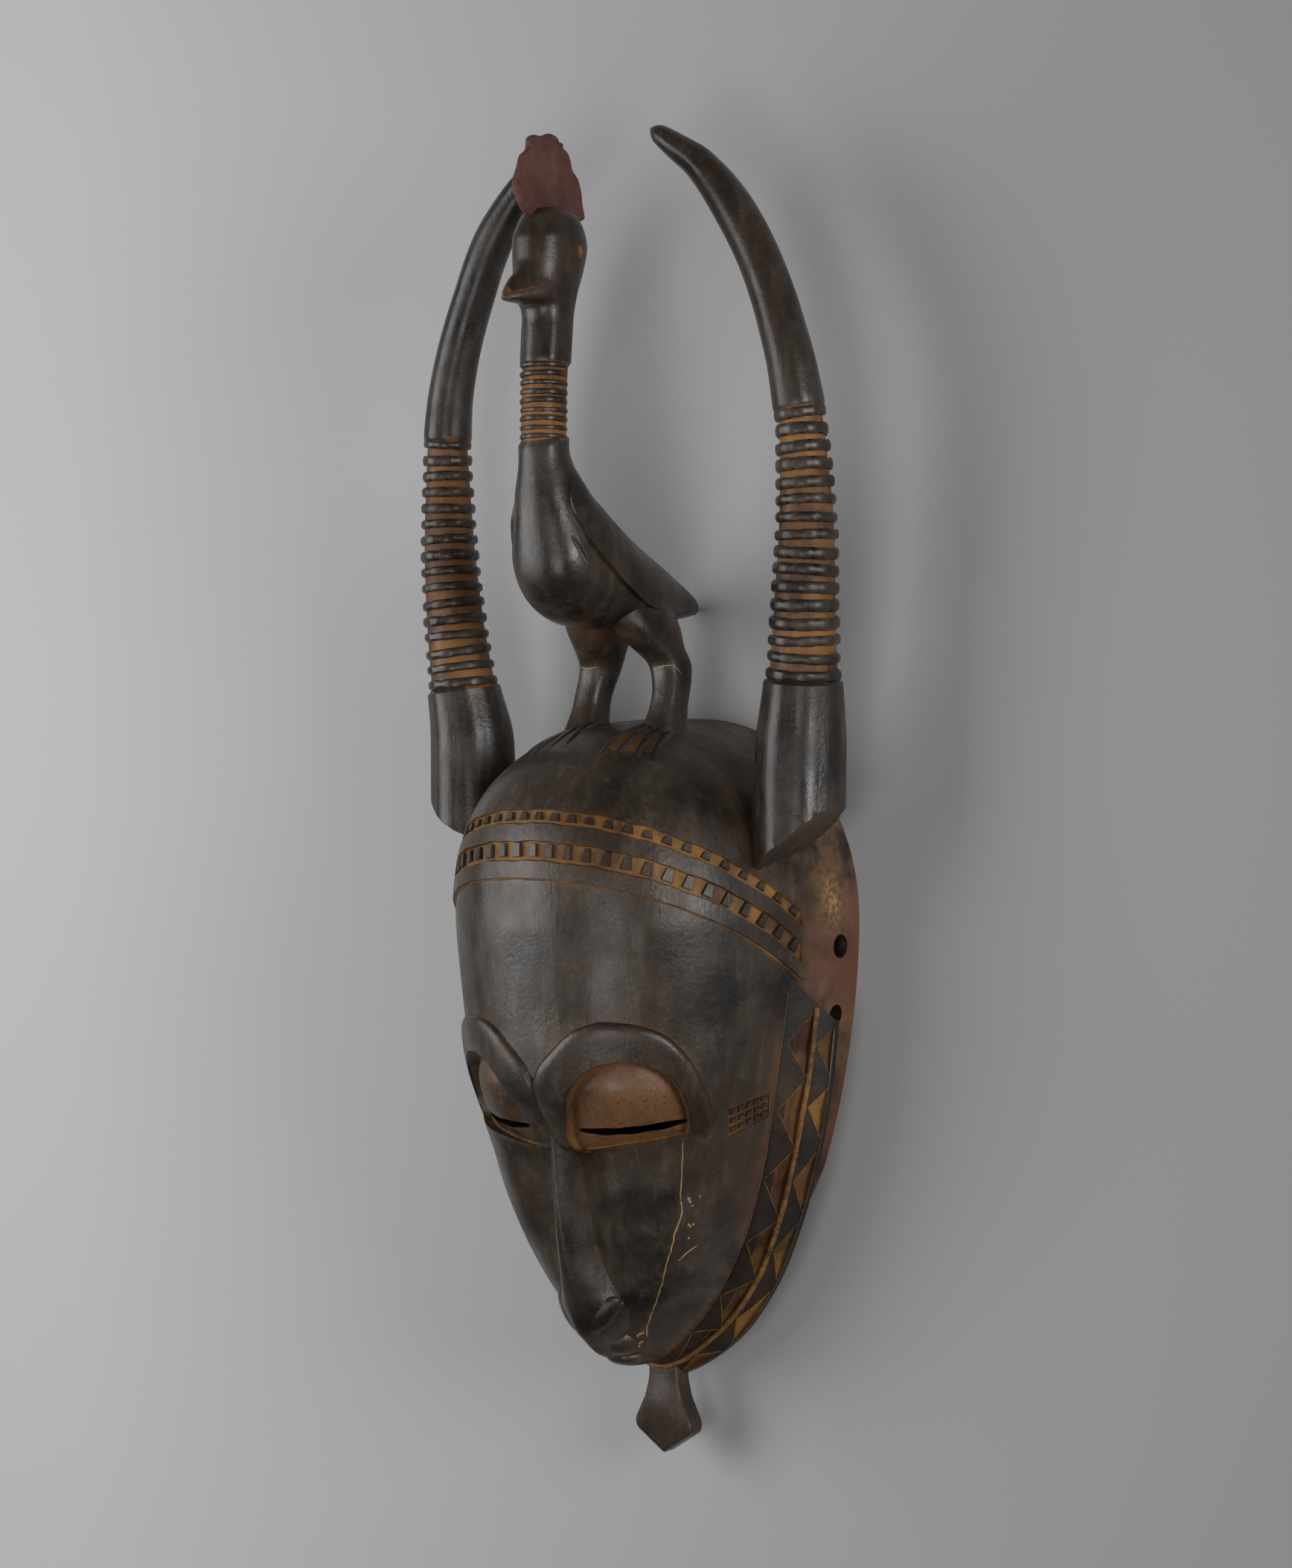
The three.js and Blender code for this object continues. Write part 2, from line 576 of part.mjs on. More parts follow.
function maskSolid() {
  const carved = united([
    headShell(), ...SIDES.map(brow), collar(), ...lips(), lug(), birdBody(), beak(), comb(),
    ...SIDES.flatMap((side) => [horn(side), leg(side)]),
    ...SIDES.flatMap((side) => Array.from({ length: TOE.count }, (_, i) => toe(side, i))),
  ]);
  const sockets = united(SIDES.map(socket));
  const cuts = [
    hollow(), ...cells(), ...chips(), ...SIDES.map(eyeSlit),
    ...SIDES.flatMap((side) => CORD_HOLES.map((y) => cordHole(side, y))),
  ];
  return carved.subtract(sockets).add(nose()).subtract(united(cuts));
}

function toGeometry(body) {
  const { vertProperties, triVerts } = body.getMesh();
  const geometry = new THREE.BufferGeometry();
  geometry.setAttribute('position', new THREE.BufferAttribute(vertProperties, 3));
  geometry.setIndex(new THREE.BufferAttribute(triVerts, 1));
  geometry.computeVertexNormals();
  return geometry;
}

const darkWood = new THREE.MeshStandardMaterial({ color: 0x2b2522, roughness: 0.5, metalness: 0 });
const mask = new THREE.Mesh(toGeometry(maskSolid()), darkWood);
mask.name = 'mask';

const model = new THREE.Group();
model.add(mask);
export default model;
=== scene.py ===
"""Yaure mask of carved wood: a horned human face with a bird standing on its crown.

The mask lies on the flat rim of its hollow back. Every length below is in millimetres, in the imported
frame: +Z up out of the face, +Y from the chin to the horn tips, +X on the right of someone looking down.
"""

import logging
import math
from dataclasses import dataclass
from enum import Enum
from typing import Any, Optional, Sequence

import bmesh
import bpy
import numpy as np
from mathutils import Matrix, Vector, noise
from mathutils.bvhtree import BVHTree


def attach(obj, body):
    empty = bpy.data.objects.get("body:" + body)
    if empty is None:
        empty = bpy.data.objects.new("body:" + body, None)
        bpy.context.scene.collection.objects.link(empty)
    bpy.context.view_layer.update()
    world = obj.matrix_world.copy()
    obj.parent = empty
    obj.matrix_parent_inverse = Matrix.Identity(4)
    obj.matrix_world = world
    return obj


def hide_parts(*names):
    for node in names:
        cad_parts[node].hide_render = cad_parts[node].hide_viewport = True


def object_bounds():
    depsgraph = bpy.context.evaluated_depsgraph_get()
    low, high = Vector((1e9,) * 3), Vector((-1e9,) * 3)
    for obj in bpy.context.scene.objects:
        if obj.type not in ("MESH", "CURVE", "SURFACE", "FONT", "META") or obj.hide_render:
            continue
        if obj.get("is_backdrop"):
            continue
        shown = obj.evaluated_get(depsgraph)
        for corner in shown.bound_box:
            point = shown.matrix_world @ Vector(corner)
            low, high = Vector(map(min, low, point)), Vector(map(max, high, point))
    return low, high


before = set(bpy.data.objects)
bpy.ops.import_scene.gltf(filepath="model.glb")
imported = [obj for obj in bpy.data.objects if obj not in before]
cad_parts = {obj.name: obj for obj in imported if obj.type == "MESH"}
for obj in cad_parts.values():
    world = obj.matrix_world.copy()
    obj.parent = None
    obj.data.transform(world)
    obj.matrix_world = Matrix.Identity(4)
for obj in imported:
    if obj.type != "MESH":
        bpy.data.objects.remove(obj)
CAD_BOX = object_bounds()

MM = 0.001
SIDES = (1, -1)
log = logging.getLogger("mask")
Array = np.ndarray
Solid = bpy.types.Object
Place = tuple[float, float, float]


# ---------------------------------------------------------------- numbers and curves
def smooth(t: Any) -> Any:
    """Ease from 0 to 1."""
    t = np.clip(t, 0.0, 1.0)
    return t * t * (3 - 2 * t)


def bump(t: Any) -> Any:
    """Bell that is 1 at 0."""
    return np.exp(-np.asarray(t, float) ** 2)


def mix(a: Any, b: Any, t: Any) -> Any:
    """Blend from a to b."""
    return a + (b - a) * t


def blend_shares(t: Array) -> tuple[Array, Array, Array, Array]:
    """Shares of a smooth span's start, leaving slope, end and arriving slope at t."""
    t2, t3 = t * t, t * t * t
    return 2 * t3 - 3 * t2 + 1, t3 - 2 * t2 + t, 3 * t2 - 2 * t3, t3 - t2


class Curve:
    """Smooth curve through stations of (position, value, ...) that never overshoots them."""

    def __init__(self, stations: Sequence[Sequence[float]]) -> None:
        """Prepare the curve.

        Args:
            stations: rows of position and values, in any order of position.
        """
        table = np.array(sorted([list(row) for row in stations]), float)
        self.x, self.values = table[:, 0], table[:, 1:]
        slopes = np.diff(self.values, axis=0) / np.diff(self.x)[:, None]
        a, b = slopes[:-1], slopes[1:]
        inner = np.where(a * b > 0, 2 * a * b / np.where(a * b > 0, a + b, 1.0), 0.0)
        self.slopes = np.concatenate([slopes[:1], inner, slopes[-1:]])

    def __call__(self, x: Any, column: int = 0) -> Array:
        """Value at x.

        Args:
            x: position or array of positions; beyond the ends the end value holds.
            column: which of the values.

        Returns:
            The values, in the shape of x.
        """
        x = np.asarray(x, float)
        i = np.clip(np.searchsorted(self.x, x, side="right") - 1, 0, len(self.x) - 2)
        step = self.x[i + 1] - self.x[i]
        t = np.clip((x - self.x[i]) / step, 0, 1)
        v, m = self.values[:, column], self.slopes[:, column]
        start, leave, end, arrive = blend_shares(t)
        return start * v[i] + leave * step * m[i] + end * v[i + 1] + arrive * step * m[i + 1]


def unit(v: Array) -> Array:
    """Rows of v at length 1."""
    return v / np.maximum(np.linalg.norm(v, axis=-1, keepdims=True), 1e-12)


def ripple(points: Array, size: float, seed: float) -> Array:
    """Smooth random value from -1 to 1 at each point.

    Args:
        points: array of x, y, z.
        size: distance over which the value changes.
        seed: offset that picks another pattern.

    Returns:
        One value for each point.
    """
    shift = Vector((seed * 17.3, seed * 5.1, seed * 9.7))
    values = [noise.noise(Vector(p) / size + shift) for p in points.reshape(-1, 3)]
    return np.array(values).reshape(points.shape[:-1])


def circle(count: int) -> Array:
    """Angles of a full turn in equal steps."""
    return np.linspace(0, 2 * math.pi, count + 1)[:-1]


def spread(*values: Any) -> list[Array]:
    """Values as arrays of one common shape."""
    return np.broadcast_arrays(*(np.atleast_1d(np.asarray(value, float)) for value in values))


def placed(name: str, data: Any) -> Solid:
    """Make an object of a mesh, a curve, a lamp or a camera, and put it in the scene.

    Args:
        name: name of the object.
        data: what it shows.

    Returns:
        The object, at the origin.
    """
    made = bpy.data.objects.new(name, data)
    bpy.context.scene.collection.objects.link(made)
    return made


# ---------------------------------------------------------------- finishes
class Finish(Enum):
    """Finishes of the carving, in the order of its material slots."""

    STAIN = 0
    HEAD = 1
    OCHRE = 2
    LID = 3
    RED = 4
    RAW = 5
    CRACK = 6
    BROWN = 7
    FLAT = 8
    ORANGE = 9


def colour(code: str) -> tuple[float, float, float, float]:
    """Linear colour from an sRGB hex code such as 'b07b3a'.

    Args:
        code: six hex digits.

    Returns:
        Red, green, blue and alpha.
    """
    parts = [int(code[i : i + 2], 16) / 255 for i in (0, 2, 4)]
    linear = [c / 12.92 if c <= 0.04045 else ((c + 0.055) / 1.055) ** 2.4 for c in parts]
    return (linear[0], linear[1], linear[2], 1.0)


def add_node(tree: Any, kind: str, inputs: Optional[dict] = None, **settings: Any) -> Any:
    """Add a node to a tree.

    Args:
        tree: shader or geometry node tree.
        kind: type name of the node.
        inputs: input by name or number; a socket is linked, anything else is set as the value.
        **settings: properties of the node.

    Returns:
        The node.
    """
    made = tree.nodes.new(kind)
    for name, value in settings.items():
        setattr(made, name, value)
    for key, value in (inputs or {}).items():
        socket = made.inputs[key]
        if isinstance(value, bpy.types.NodeSocket):
            tree.links.new(value, socket)
        else:
            socket.default_value = value
    return made


def wired(tree: Any, found: dict[str, Any], rows: Sequence[tuple]) -> None:
    """Add the nodes of a table to a tree.

    Args:
        tree: shader or geometry node tree.
        found: sockets by name, to which each row adds its own.
        rows: results by name with their outputs, type of the node, inputs and settings; an input that
            names a found socket is linked to it.
    """
    for results, kind, inputs, settings in rows:
        values = {k: found.get(v, v) if isinstance(v, str) else v for k, v in inputs.items()}
        made = add_node(tree, kind, values, **settings)
        found.update({name: made.outputs[key] for name, key in results.items()})


@dataclass(frozen=True)
class Wood:
    """Carved hardwood under one of its finishes.

    The tones are sRGB: dark and light of the stain, its warm clouds, and the dust in its cuts. The
    fibres are about 0.5 mm wide, drawn 1.2 mm wide so that they show. Handling leaves a patina that
    changes over 10 to 60 mm, and specks and small dents of 1 to 2.5 mm.
    """

    name: str
    dark: str
    light: str
    warm: str
    dust: str
    dust_amount: float
    edge_amount: float
    rough: float
    haze: float = 0.0
    blotch: float = 0.2
    rust: float = 0.0
    relief: float = 0.2

    def patterns(self, tree: bpy.types.NodeTree) -> dict[str, Any]:
        """Noise patterns stretched to run from 0 to 1, and the plain noises of the relief.

        Args:
            tree: shader tree.

        Returns:
            Sockets by name.
        """
        place = add_node(tree, "ShaderNodeTexCoord").outputs["Object"]
        # repeats a metre along X, Y and Z, detail, and the noise values that become 0 and 1
        table = {
            "grain": ((820.0, 38.0, 820.0), 3.0, 0.5, 0.75),
            "streak": ((210.0, 24.0, 210.0), 4.0, 0.46, 0.7),
            "patina": ((40.0, 40.0, 40.0), 6.0, 0.38, 0.64),
            "cloud": ((17.0, 14.0, 17.0), 4.0, 0.44, 0.64),
            "blotch": ((70.0, 46.0, 70.0), 6.0, 0.5, 0.68),
            "fine": ((420.0, 420.0, 420.0), 4.0, 0.42, 0.62),
            "speck": ((950.0, 950.0, 950.0), 3.0, 0.5, 0.66),
        }
        made = {}
        for number, (name, (scale, detail, low, high)) in enumerate(table.items()):
            stretch = {"Vector": place, "Scale": scale, "Location": (number * 3.1, 0.0, 0.0)}
            spot = add_node(tree, "ShaderNodeMapping", stretch).outputs[0]
            noise_here = add_node(
                tree, "ShaderNodeTexNoise", {"Vector": spot, "Scale": 1.0, "Detail": detail, "Roughness": 0.6}
            ).outputs["Fac"]
            made["plain_" + name] = noise_here
            made[name] = add_node(
                tree,
                "ShaderNodeMapRange",
                {"Value": noise_here, "From Min": low, "From Max": high},
                interpolation_type="SMOOTHSTEP",
            ).outputs[0]
        for name in ("edge", "recess", "rust", "bare"):
            made[name] = add_node(tree, "ShaderNodeAttribute", attribute_name=name).outputs["Fac"]
        return made

    def build(self) -> bpy.types.Material:
        """Make the material: one coat of colour over the other, and the relief of the fibres.

        Returns:
            The material.
        """
        made = bpy.data.materials.new(self.name)
        made.use_nodes = True
        tree = made.node_tree
        tree.nodes.clear()
        parts = self.patterns(tree)
        # colour of a coat, how much of it there is, and the patterns that it follows
        coats = [
            (self.light, 1.0, ("patina",)),
            (self.warm, 0.8, ("cloud",)),
            (self.light, 0.3, ("grain",)),
            ("756c62", self.haze, ("streak", "patina")),
            (self.dust, self.blotch, ("blotch", "fine")),
            (self.dark, 0.6, ("speck", "cloud")),
            ("7a5a42", self.rust, ("rust", "patina")),
            ("6b4230", self.rust, ("rust", "cloud")),
            ("b08a58", float(self.rust > 0), ("bare", "fine")),
            (self.dust, self.dust_amount, ("recess", "patina")),
            (self.dust, self.edge_amount, ("edge", "fine")),
        ]
        tone = colour(self.dark)
        for code, amount, names in coats:
            if amount == 0:
                continue
            for name in names:
                share = {0: amount, 1: parts[name]}
                amount = add_node(tree, "ShaderNodeMath", share, operation="MULTIPLY").outputs[0]
            coat = {0: amount, 6: tone, 7: colour(code)}
            tone = add_node(tree, "ShaderNodeMix", coat, data_type="RGBA").outputs[2]
        rough = add_node(
            tree,
            "ShaderNodeMapRange",
            {
                "Value": parts["plain_blotch"],
                "From Min": 0.35,
                "From Max": 0.65,
                "To Min": self.rough - 0.08,
                "To Max": self.rough + 0.14,
            },
        ).outputs[0]
        height = parts["plain_fine"]
        for name, share in (("plain_grain", 0.5), ("plain_speck", 0.3), ("plain_blotch", 1.6)):
            height = add_node(
                tree, "ShaderNodeMath", {0: parts[name], 1: share, 2: height}, operation="MULTIPLY_ADD"
            ).outputs[0]
        normal = add_node(
            tree, "ShaderNodeBump", {"Height": height, "Strength": 0.6, "Distance": self.relief * MM}
        ).outputs[0]
        surface = add_node(
            tree,
            "ShaderNodeBsdfPrincipled",
            {"Base Color": tone, "Roughness": rough, "Normal": normal, "IOR": 1.5},
        ).outputs[0]
        add_node(tree, "ShaderNodeOutputMaterial", {"Surface": surface})
        return made


PALETTE = {
    # near-black stain with grey handling streaks and brown dust: horns, bird, nose, brows
    Finish.STAIN: Wood(
        "blackened_hardwood", "171310", "362e27", "38291d", "66492b", 0.5, 0.15, 0.33,
        haze=0.22, blotch=0.2, rust=0.6,
    ),
    # the same stain on the face, worn to brown and rusty wood on the side walls
    Finish.HEAD: Wood(
        "blackened_face_wood", "181411", "3b322a", "3f2f20", "6b4f2f", 0.6, 0.15, 0.35,
        haze=0.25, blotch=0.28, rust=1.0,
    ),
    # golden ochre rubbed into the head band, the cord and the outer chips
    Finish.OCHRE: Wood(
        "ochre_in_the_cuts", "4a2f15", "8f632b", "5f3c1a", "ab7e3e", 0.4, 0.35, 0.6, relief=0.35
    ),
    # lids rubbed to a mottled orange brown
    Finish.LID: Wood(
        "rubbed_brown_lid", "2a1f17", "59432f", "7a4f2c", "8f6a36", 0.7, 0.3, 0.4, haze=0.15, blotch=0.3
    ),
    # brick-red ochre of the comb, worn golden at its rim
    Finish.RED: Wood(
        "red_ochre_comb", "40241f", "603a32", "502a23", "855a34", 0.25, 0.35, 0.6, haze=0.2, blotch=0.08
    ),
    # bare wood scooped with the gouge inside the mask and at the feet of the horns
    Finish.RAW: Wood("scooped_bare_wood", "33271d", "4f3c2c", "2a1f17", "6a5236", 0.3, 0.2, 0.65),
    # pale young wood in cracks and nicks
    Finish.CRACK: Wood("pale_wood_in_cracks", "9a7b48", "c5a269", "86663a", "d2b884", 0.3, 0.3, 0.8),
    # dull brown left in the inner chips, between the toes and round the scars
    Finish.BROWN: Wood("brown_in_the_cuts", "33210f", "64421f", "4a2b17", "805a2b", 0.5, 0.4, 0.5),
    # the darkest stain on the flats of the collar; in the slits and in the cord holes the same near-black is
    # painted shade
    Finish.FLAT: Wood(
        "black_collar_flats_and_painted_shade", "0f0b08", "2a1d13", "21150c", "54391c", 0.3, 0.2, 0.5, haze=0.06
    ),
    # orange brown between the rings of the horns and the neck, and in the bird's eyes
    Finish.ORANGE: Wood(
        "orange_between_the_rings", "3a2110", "84521f", "5f3517", "a0702f", 0.45, 0.4, 0.55, relief=0.35
    ),
}


# ---------------------------------------------------------------- meshes
class Workshop:
    """Makes solids with the shared finishes, and joins and cuts them."""

    def __init__(self) -> None:
        """Build the materials."""
        self.materials = [PALETTE[finish].build() for finish in Finish]

    def solid(self, name: str, points: Array, faces: Sequence, finish: Finish) -> Solid:
        """Make a closed solid with its faces outwards.

        Args:
            name: name of the object.
            points: rows of x, y, z in millimetres.
            faces: corners of each face.
            finish: finish of every face.

        Returns:
            The object, at the origin.
        """
        mesh = bpy.data.meshes.new(name)
        mesh.from_pydata((np.asarray(points, float) * MM).tolist(), [], [list(f) for f in faces])
        shape = bmesh.new()
        shape.from_mesh(mesh)
        bmesh.ops.remove_doubles(shape, verts=shape.verts, dist=2e-7)
        bmesh.ops.dissolve_degenerate(shape, edges=shape.edges, dist=1e-8)
        if shape.calc_volume(signed=True) < 0:
            bmesh.ops.reverse_faces(shape, faces=shape.faces)
        shape.to_mesh(mesh)
        shape.free()
        return self.adopt(name, mesh, finish)

    def adopt(self, name: str, mesh: bpy.types.Mesh, finish: Finish) -> Solid:
        """Object of a mesh with all slots, its faces in one finish.

        Args:
            name: name of the object.
            mesh: its mesh.
            finish: finish of every face.

        Returns:
            The object.
        """
        mesh.materials.clear()
        for material in self.materials:
            mesh.materials.append(material)
        mesh.polygons.foreach_set("material_index", np.full(len(mesh.polygons), finish.value, np.int32))
        mesh.polygons.foreach_set("use_smooth", np.ones(len(mesh.polygons), bool))
        return placed(name, mesh)

    def loft(self, name: str, rings: Array, finish: Finish) -> Solid:
        """Closed solid through rings of points.

        Args:
            name: name of the object.
            rings: array of rings, each of the same number of points.
            finish: finish of every face.

        Returns:
            The object.
        """
        rings = np.asarray(rings, float)
        count, sides = rings.shape[:2]
        faces = []
        for row in range(0, (count - 1) * sides, sides):
            for s in range(sides):
                after = (s + 1) % sides
                faces.append((row + s, row + after, row + sides + after, row + sides + s))
        faces.append(tuple(reversed(range(sides))))
        faces.append(tuple((count - 1) * sides + s for s in range(sides)))
        return self.solid(name, rings.reshape(-1, 3), faces, finish)

    def ridge(self, name: str, path: Any, radius: Any, finish: Finish, sides: int = 12) -> Solid:
        """Round bar along a path of points.

        Args:
            name: name of the bar.
            path: rows of x, y, z.
            radius: radius of the bar, or one for each point.
            finish: its finish.
            sides: how many sides the bar has.

        Returns:
            The bar.
        """
        path = np.asarray(path, float)
        radius = np.broadcast_to(radius, len(path))
        run = unit(np.gradient(path, axis=0))
        side = unit(np.cross(run, [0.13, 0.94, 0.31]) + 1e-9)
        up = np.cross(side, run)
        angle = circle(sides)
        rings = (
            path[:, None, :]
            + side[:, None, :] * (radius[:, None] * np.cos(angle))[..., None]
            + up[:, None, :] * (radius[:, None] * np.sin(angle))[..., None]
        )
        return self.loft(name, rings, finish)

    def work(self, block: Solid, tools: Sequence[Solid], operation: str) -> None:
        """Join solids to a block, or cut them from it, one after the other, and remove them.

        Args:
            block: solid that is worked on.
            tools: closed solids.
            operation: UNION or DIFFERENCE.
        """
        for tool in tools:
            step = block.modifiers.new("work", "BOOLEAN")
            step.operation = operation
            step.solver = "MANIFOLD"
            step.object = tool
        view = bpy.context.evaluated_depsgraph_get()
        made = bpy.data.meshes.new_from_object(block.evaluated_get(view))
        block.modifiers.clear()
        old, block.data = block.data, made
        bpy.data.meshes.remove(old)
        for tool in tools:
            log.debug("%s %s, %d faces now", operation, tool.name, len(made.polygons))
            bpy.data.meshes.remove(tool.data)

    def join(self, block: Solid, *tools: Solid) -> None:
        """Join solids to the block."""
        self.work(block, tools, "UNION")

    def cut(self, block: Solid, *tools: Solid) -> None:
        """Cut solids from the block."""
        self.work(block, tools, "DIFFERENCE")


def grown(group: bpy.types.NodeTree, host: Solid, values: dict[str, Any]) -> bpy.types.Mesh:
    """Plain mesh of a Geometry Nodes tree run on an object, which is then removed.

    Args:
        group: the tree.
        host: object with the points or the path.
        values: tree inputs by name.

    Returns:
        The mesh.
    """
    step = host.modifiers.new(group.name, "NODES")
    step.node_group = group
    ids = {item.name: item.identifier for item in group.interface.items_tree if item.in_out == "INPUT"}
    for name, value in values.items():
        step[ids[name]] = value
    view = bpy.context.evaluated_depsgraph_get()
    mesh = bpy.data.meshes.new_from_object(host.evaluated_get(view))
    host.modifiers.clear()
    bpy.data.objects.remove(host)
    return mesh


def open_tree(name: str, sockets: dict[str, tuple[str, Any]]) -> tuple[Any, dict[str, Any]]:
    """Start a Geometry Nodes tree.

    Args:
        name: name of the tree.
        sockets: type and first value of each named input, besides Geometry.

    Returns:
        The tree and the sockets of its inputs by name.
    """
    tree = bpy.data.node_groups.new(name, "GeometryNodeTree")
    tree.interface.new_socket("Geometry", in_out="INPUT", socket_type="NodeSocketGeometry")
    for label, (kind, value) in sockets.items():
        socket = tree.interface.new_socket(label, in_out="INPUT", socket_type=kind)
        if value is not None:
            socket.default_value = value
    tree.interface.new_socket("Geometry", in_out="OUTPUT", socket_type="NodeSocketGeometry")
    return tree, {socket.name: socket for socket in add_node(tree, "NodeGroupInput").outputs}


ONES = (1.0, 1.0, 1.0)
# last nodes of a tree that sets stamps: real geometry in one finish
DRESSING = (
    ({"real": 0}, "GeometryNodeRealizeInstances", {"Geometry": "stamps"}, {}),
    ({"dressed": 0}, "GeometryNodeSetMaterial", {"Geometry": "real", "Material": "Finish"}, {}),
    ({}, "NodeGroupOutput", {"Geometry": "dressed"}, {}),
)


class Stamp(Enum):
    """Shapes that a carver repeats: outline at the surface and outline at the foot."""

    STUD = (
        [(-0.27, 0.5), (0.27, 0.5), (0.42, -0.5), (-0.42, -0.5)],
        [(-0.3, 0.56), (0.3, 0.56), (0.5, -0.5), (-0.5, -0.5)],
    )
    SCAR = (
        [(-0.42, 0.42), (0.42, 0.42), (0.42, -0.42), (-0.42, -0.42)],
        [(-0.5, 0.5), (0.5, 0.5), (0.5, -0.5), (-0.5, -0.5)],
    )


@dataclass(frozen=True)
class Stamping:
    """One stamped row: a shape set on points that carry the attributes turn and size."""

    shape: Stamp
    width: float
    length: float
    height: float
    unevenness: float
    seed: int
    finish: Finish

    def tree(self) -> bpy.types.NodeTree:
        """Geometry Nodes tree that sets the shape on each point, turned and sized by its attributes.

        Returns:
            The tree.
        """
        tree, found = open_tree(
            "stamped_row",
            {
                "Shape": ("NodeSocketObject", None),
                "Width": ("NodeSocketFloat", 1.0),
                "Length": ("NodeSocketFloat", 1.0),
                "Height": ("NodeSocketFloat", 1.0),
                "Unevenness": ("NodeSocketFloat", 0.0),
                "Seed": ("NodeSocketInt", 0),
                "Finish": ("NodeSocketMaterial", None),
            },
        )
        vector = {"data_type": "FLOAT_VECTOR"}
        times = {"operation": "MULTIPLY"}
        rows = (
            ({"shape": "Geometry"}, "GeometryNodeObjectInfo", {"Object": "Shape"}, {}),
            ({"turn": "Attribute"}, "GeometryNodeInputNamedAttribute", {"Name": "turn"}, vector),
            ({"size": "Attribute"}, "GeometryNodeInputNamedAttribute", {"Name": "size"}, vector),
            ({"whole": 0}, "ShaderNodeCombineXYZ", {"X": "Width", "Y": "Length", "Z": "Height"}, {}),
            ({"least": 0}, "ShaderNodeMath", {0: 1.0, 1: "Unevenness"}, {"operation": "SUBTRACT"}),
            ({"random": 0}, "FunctionNodeRandomValue", {"Min": "least", "Max": ONES, "Seed": "Seed"}, vector),
            ({"sized": 0}, "ShaderNodeVectorMath", {0: "whole", 1: "size"}, times),
            ({"varied": 0}, "ShaderNodeVectorMath", {0: "sized", 1: "random"}, times),
            ({"rotation": 0}, "FunctionNodeEulerToRotation", {0: "turn"}, {}),
            (
                {"stamps": 0},
                "GeometryNodeInstanceOnPoints",
                {"Points": "Geometry", "Instance": "shape", "Rotation": "rotation", "Scale": "varied"},
                {},
            ),
            *DRESSING,
        )
        wired(tree, found, rows)
        return tree

    def run(self, shop: Workshop, name: str, points: Array, axes: Array, sizes: Array) -> Solid:
        """Set the shape on points.

        Args:
            shop: where solids are made.
            name: name of the result.
            points: rows of x, y, z.
            axes: for each point the directions of the shape's width, length and height.
            sizes: for each point how much wider, longer and higher the shape is.

        Returns:
            All the stamps as one object.
        """
        outline, bottom = self.shape.value
        count = len(outline)
        low = [(x, y, 0.0) for x, y in bottom]
        high = [(mix(c, a, 1.6), mix(d, b, 1.6), 1.6) for (a, b), (c, d) in zip(outline, bottom)]
        faces = [(0, i, i + 1) for i in range(1, count - 1)]
        faces.append(tuple(range(2 * count - 1, count - 1, -1)))
        faces += [(i, i + count, (i + 1) % count + count, (i + 1) % count) for i in range(count)]
        pattern = shop.solid("pattern", np.array(low + high) / MM, faces, self.finish)
        host_mesh = bpy.data.meshes.new("points")
        host_mesh.from_pydata((points * MM).tolist(), [], [])
        turns = [Matrix(np.array(a).T.tolist()).to_euler() for a in axes]
        for label, rows in (("turn", turns), ("size", sizes)):
            attribute = host_mesh.attributes.new(label, "FLOAT_VECTOR", "POINT")
            attribute.data.foreach_set("vector", np.array([list(r) for r in rows], np.float32).ravel())
        values = {
            "Shape": pattern,
            "Width": self.width * MM,
            "Length": self.length * MM,
            "Height": self.height * MM,
            "Unevenness": self.unevenness,
            "Seed": self.seed,
            "Finish": shop.materials[self.finish.value],
        }
        mesh = grown(self.tree(), placed("points", host_mesh), values)
        bpy.data.objects.remove(pattern)
        return shop.adopt(name, mesh, self.finish)


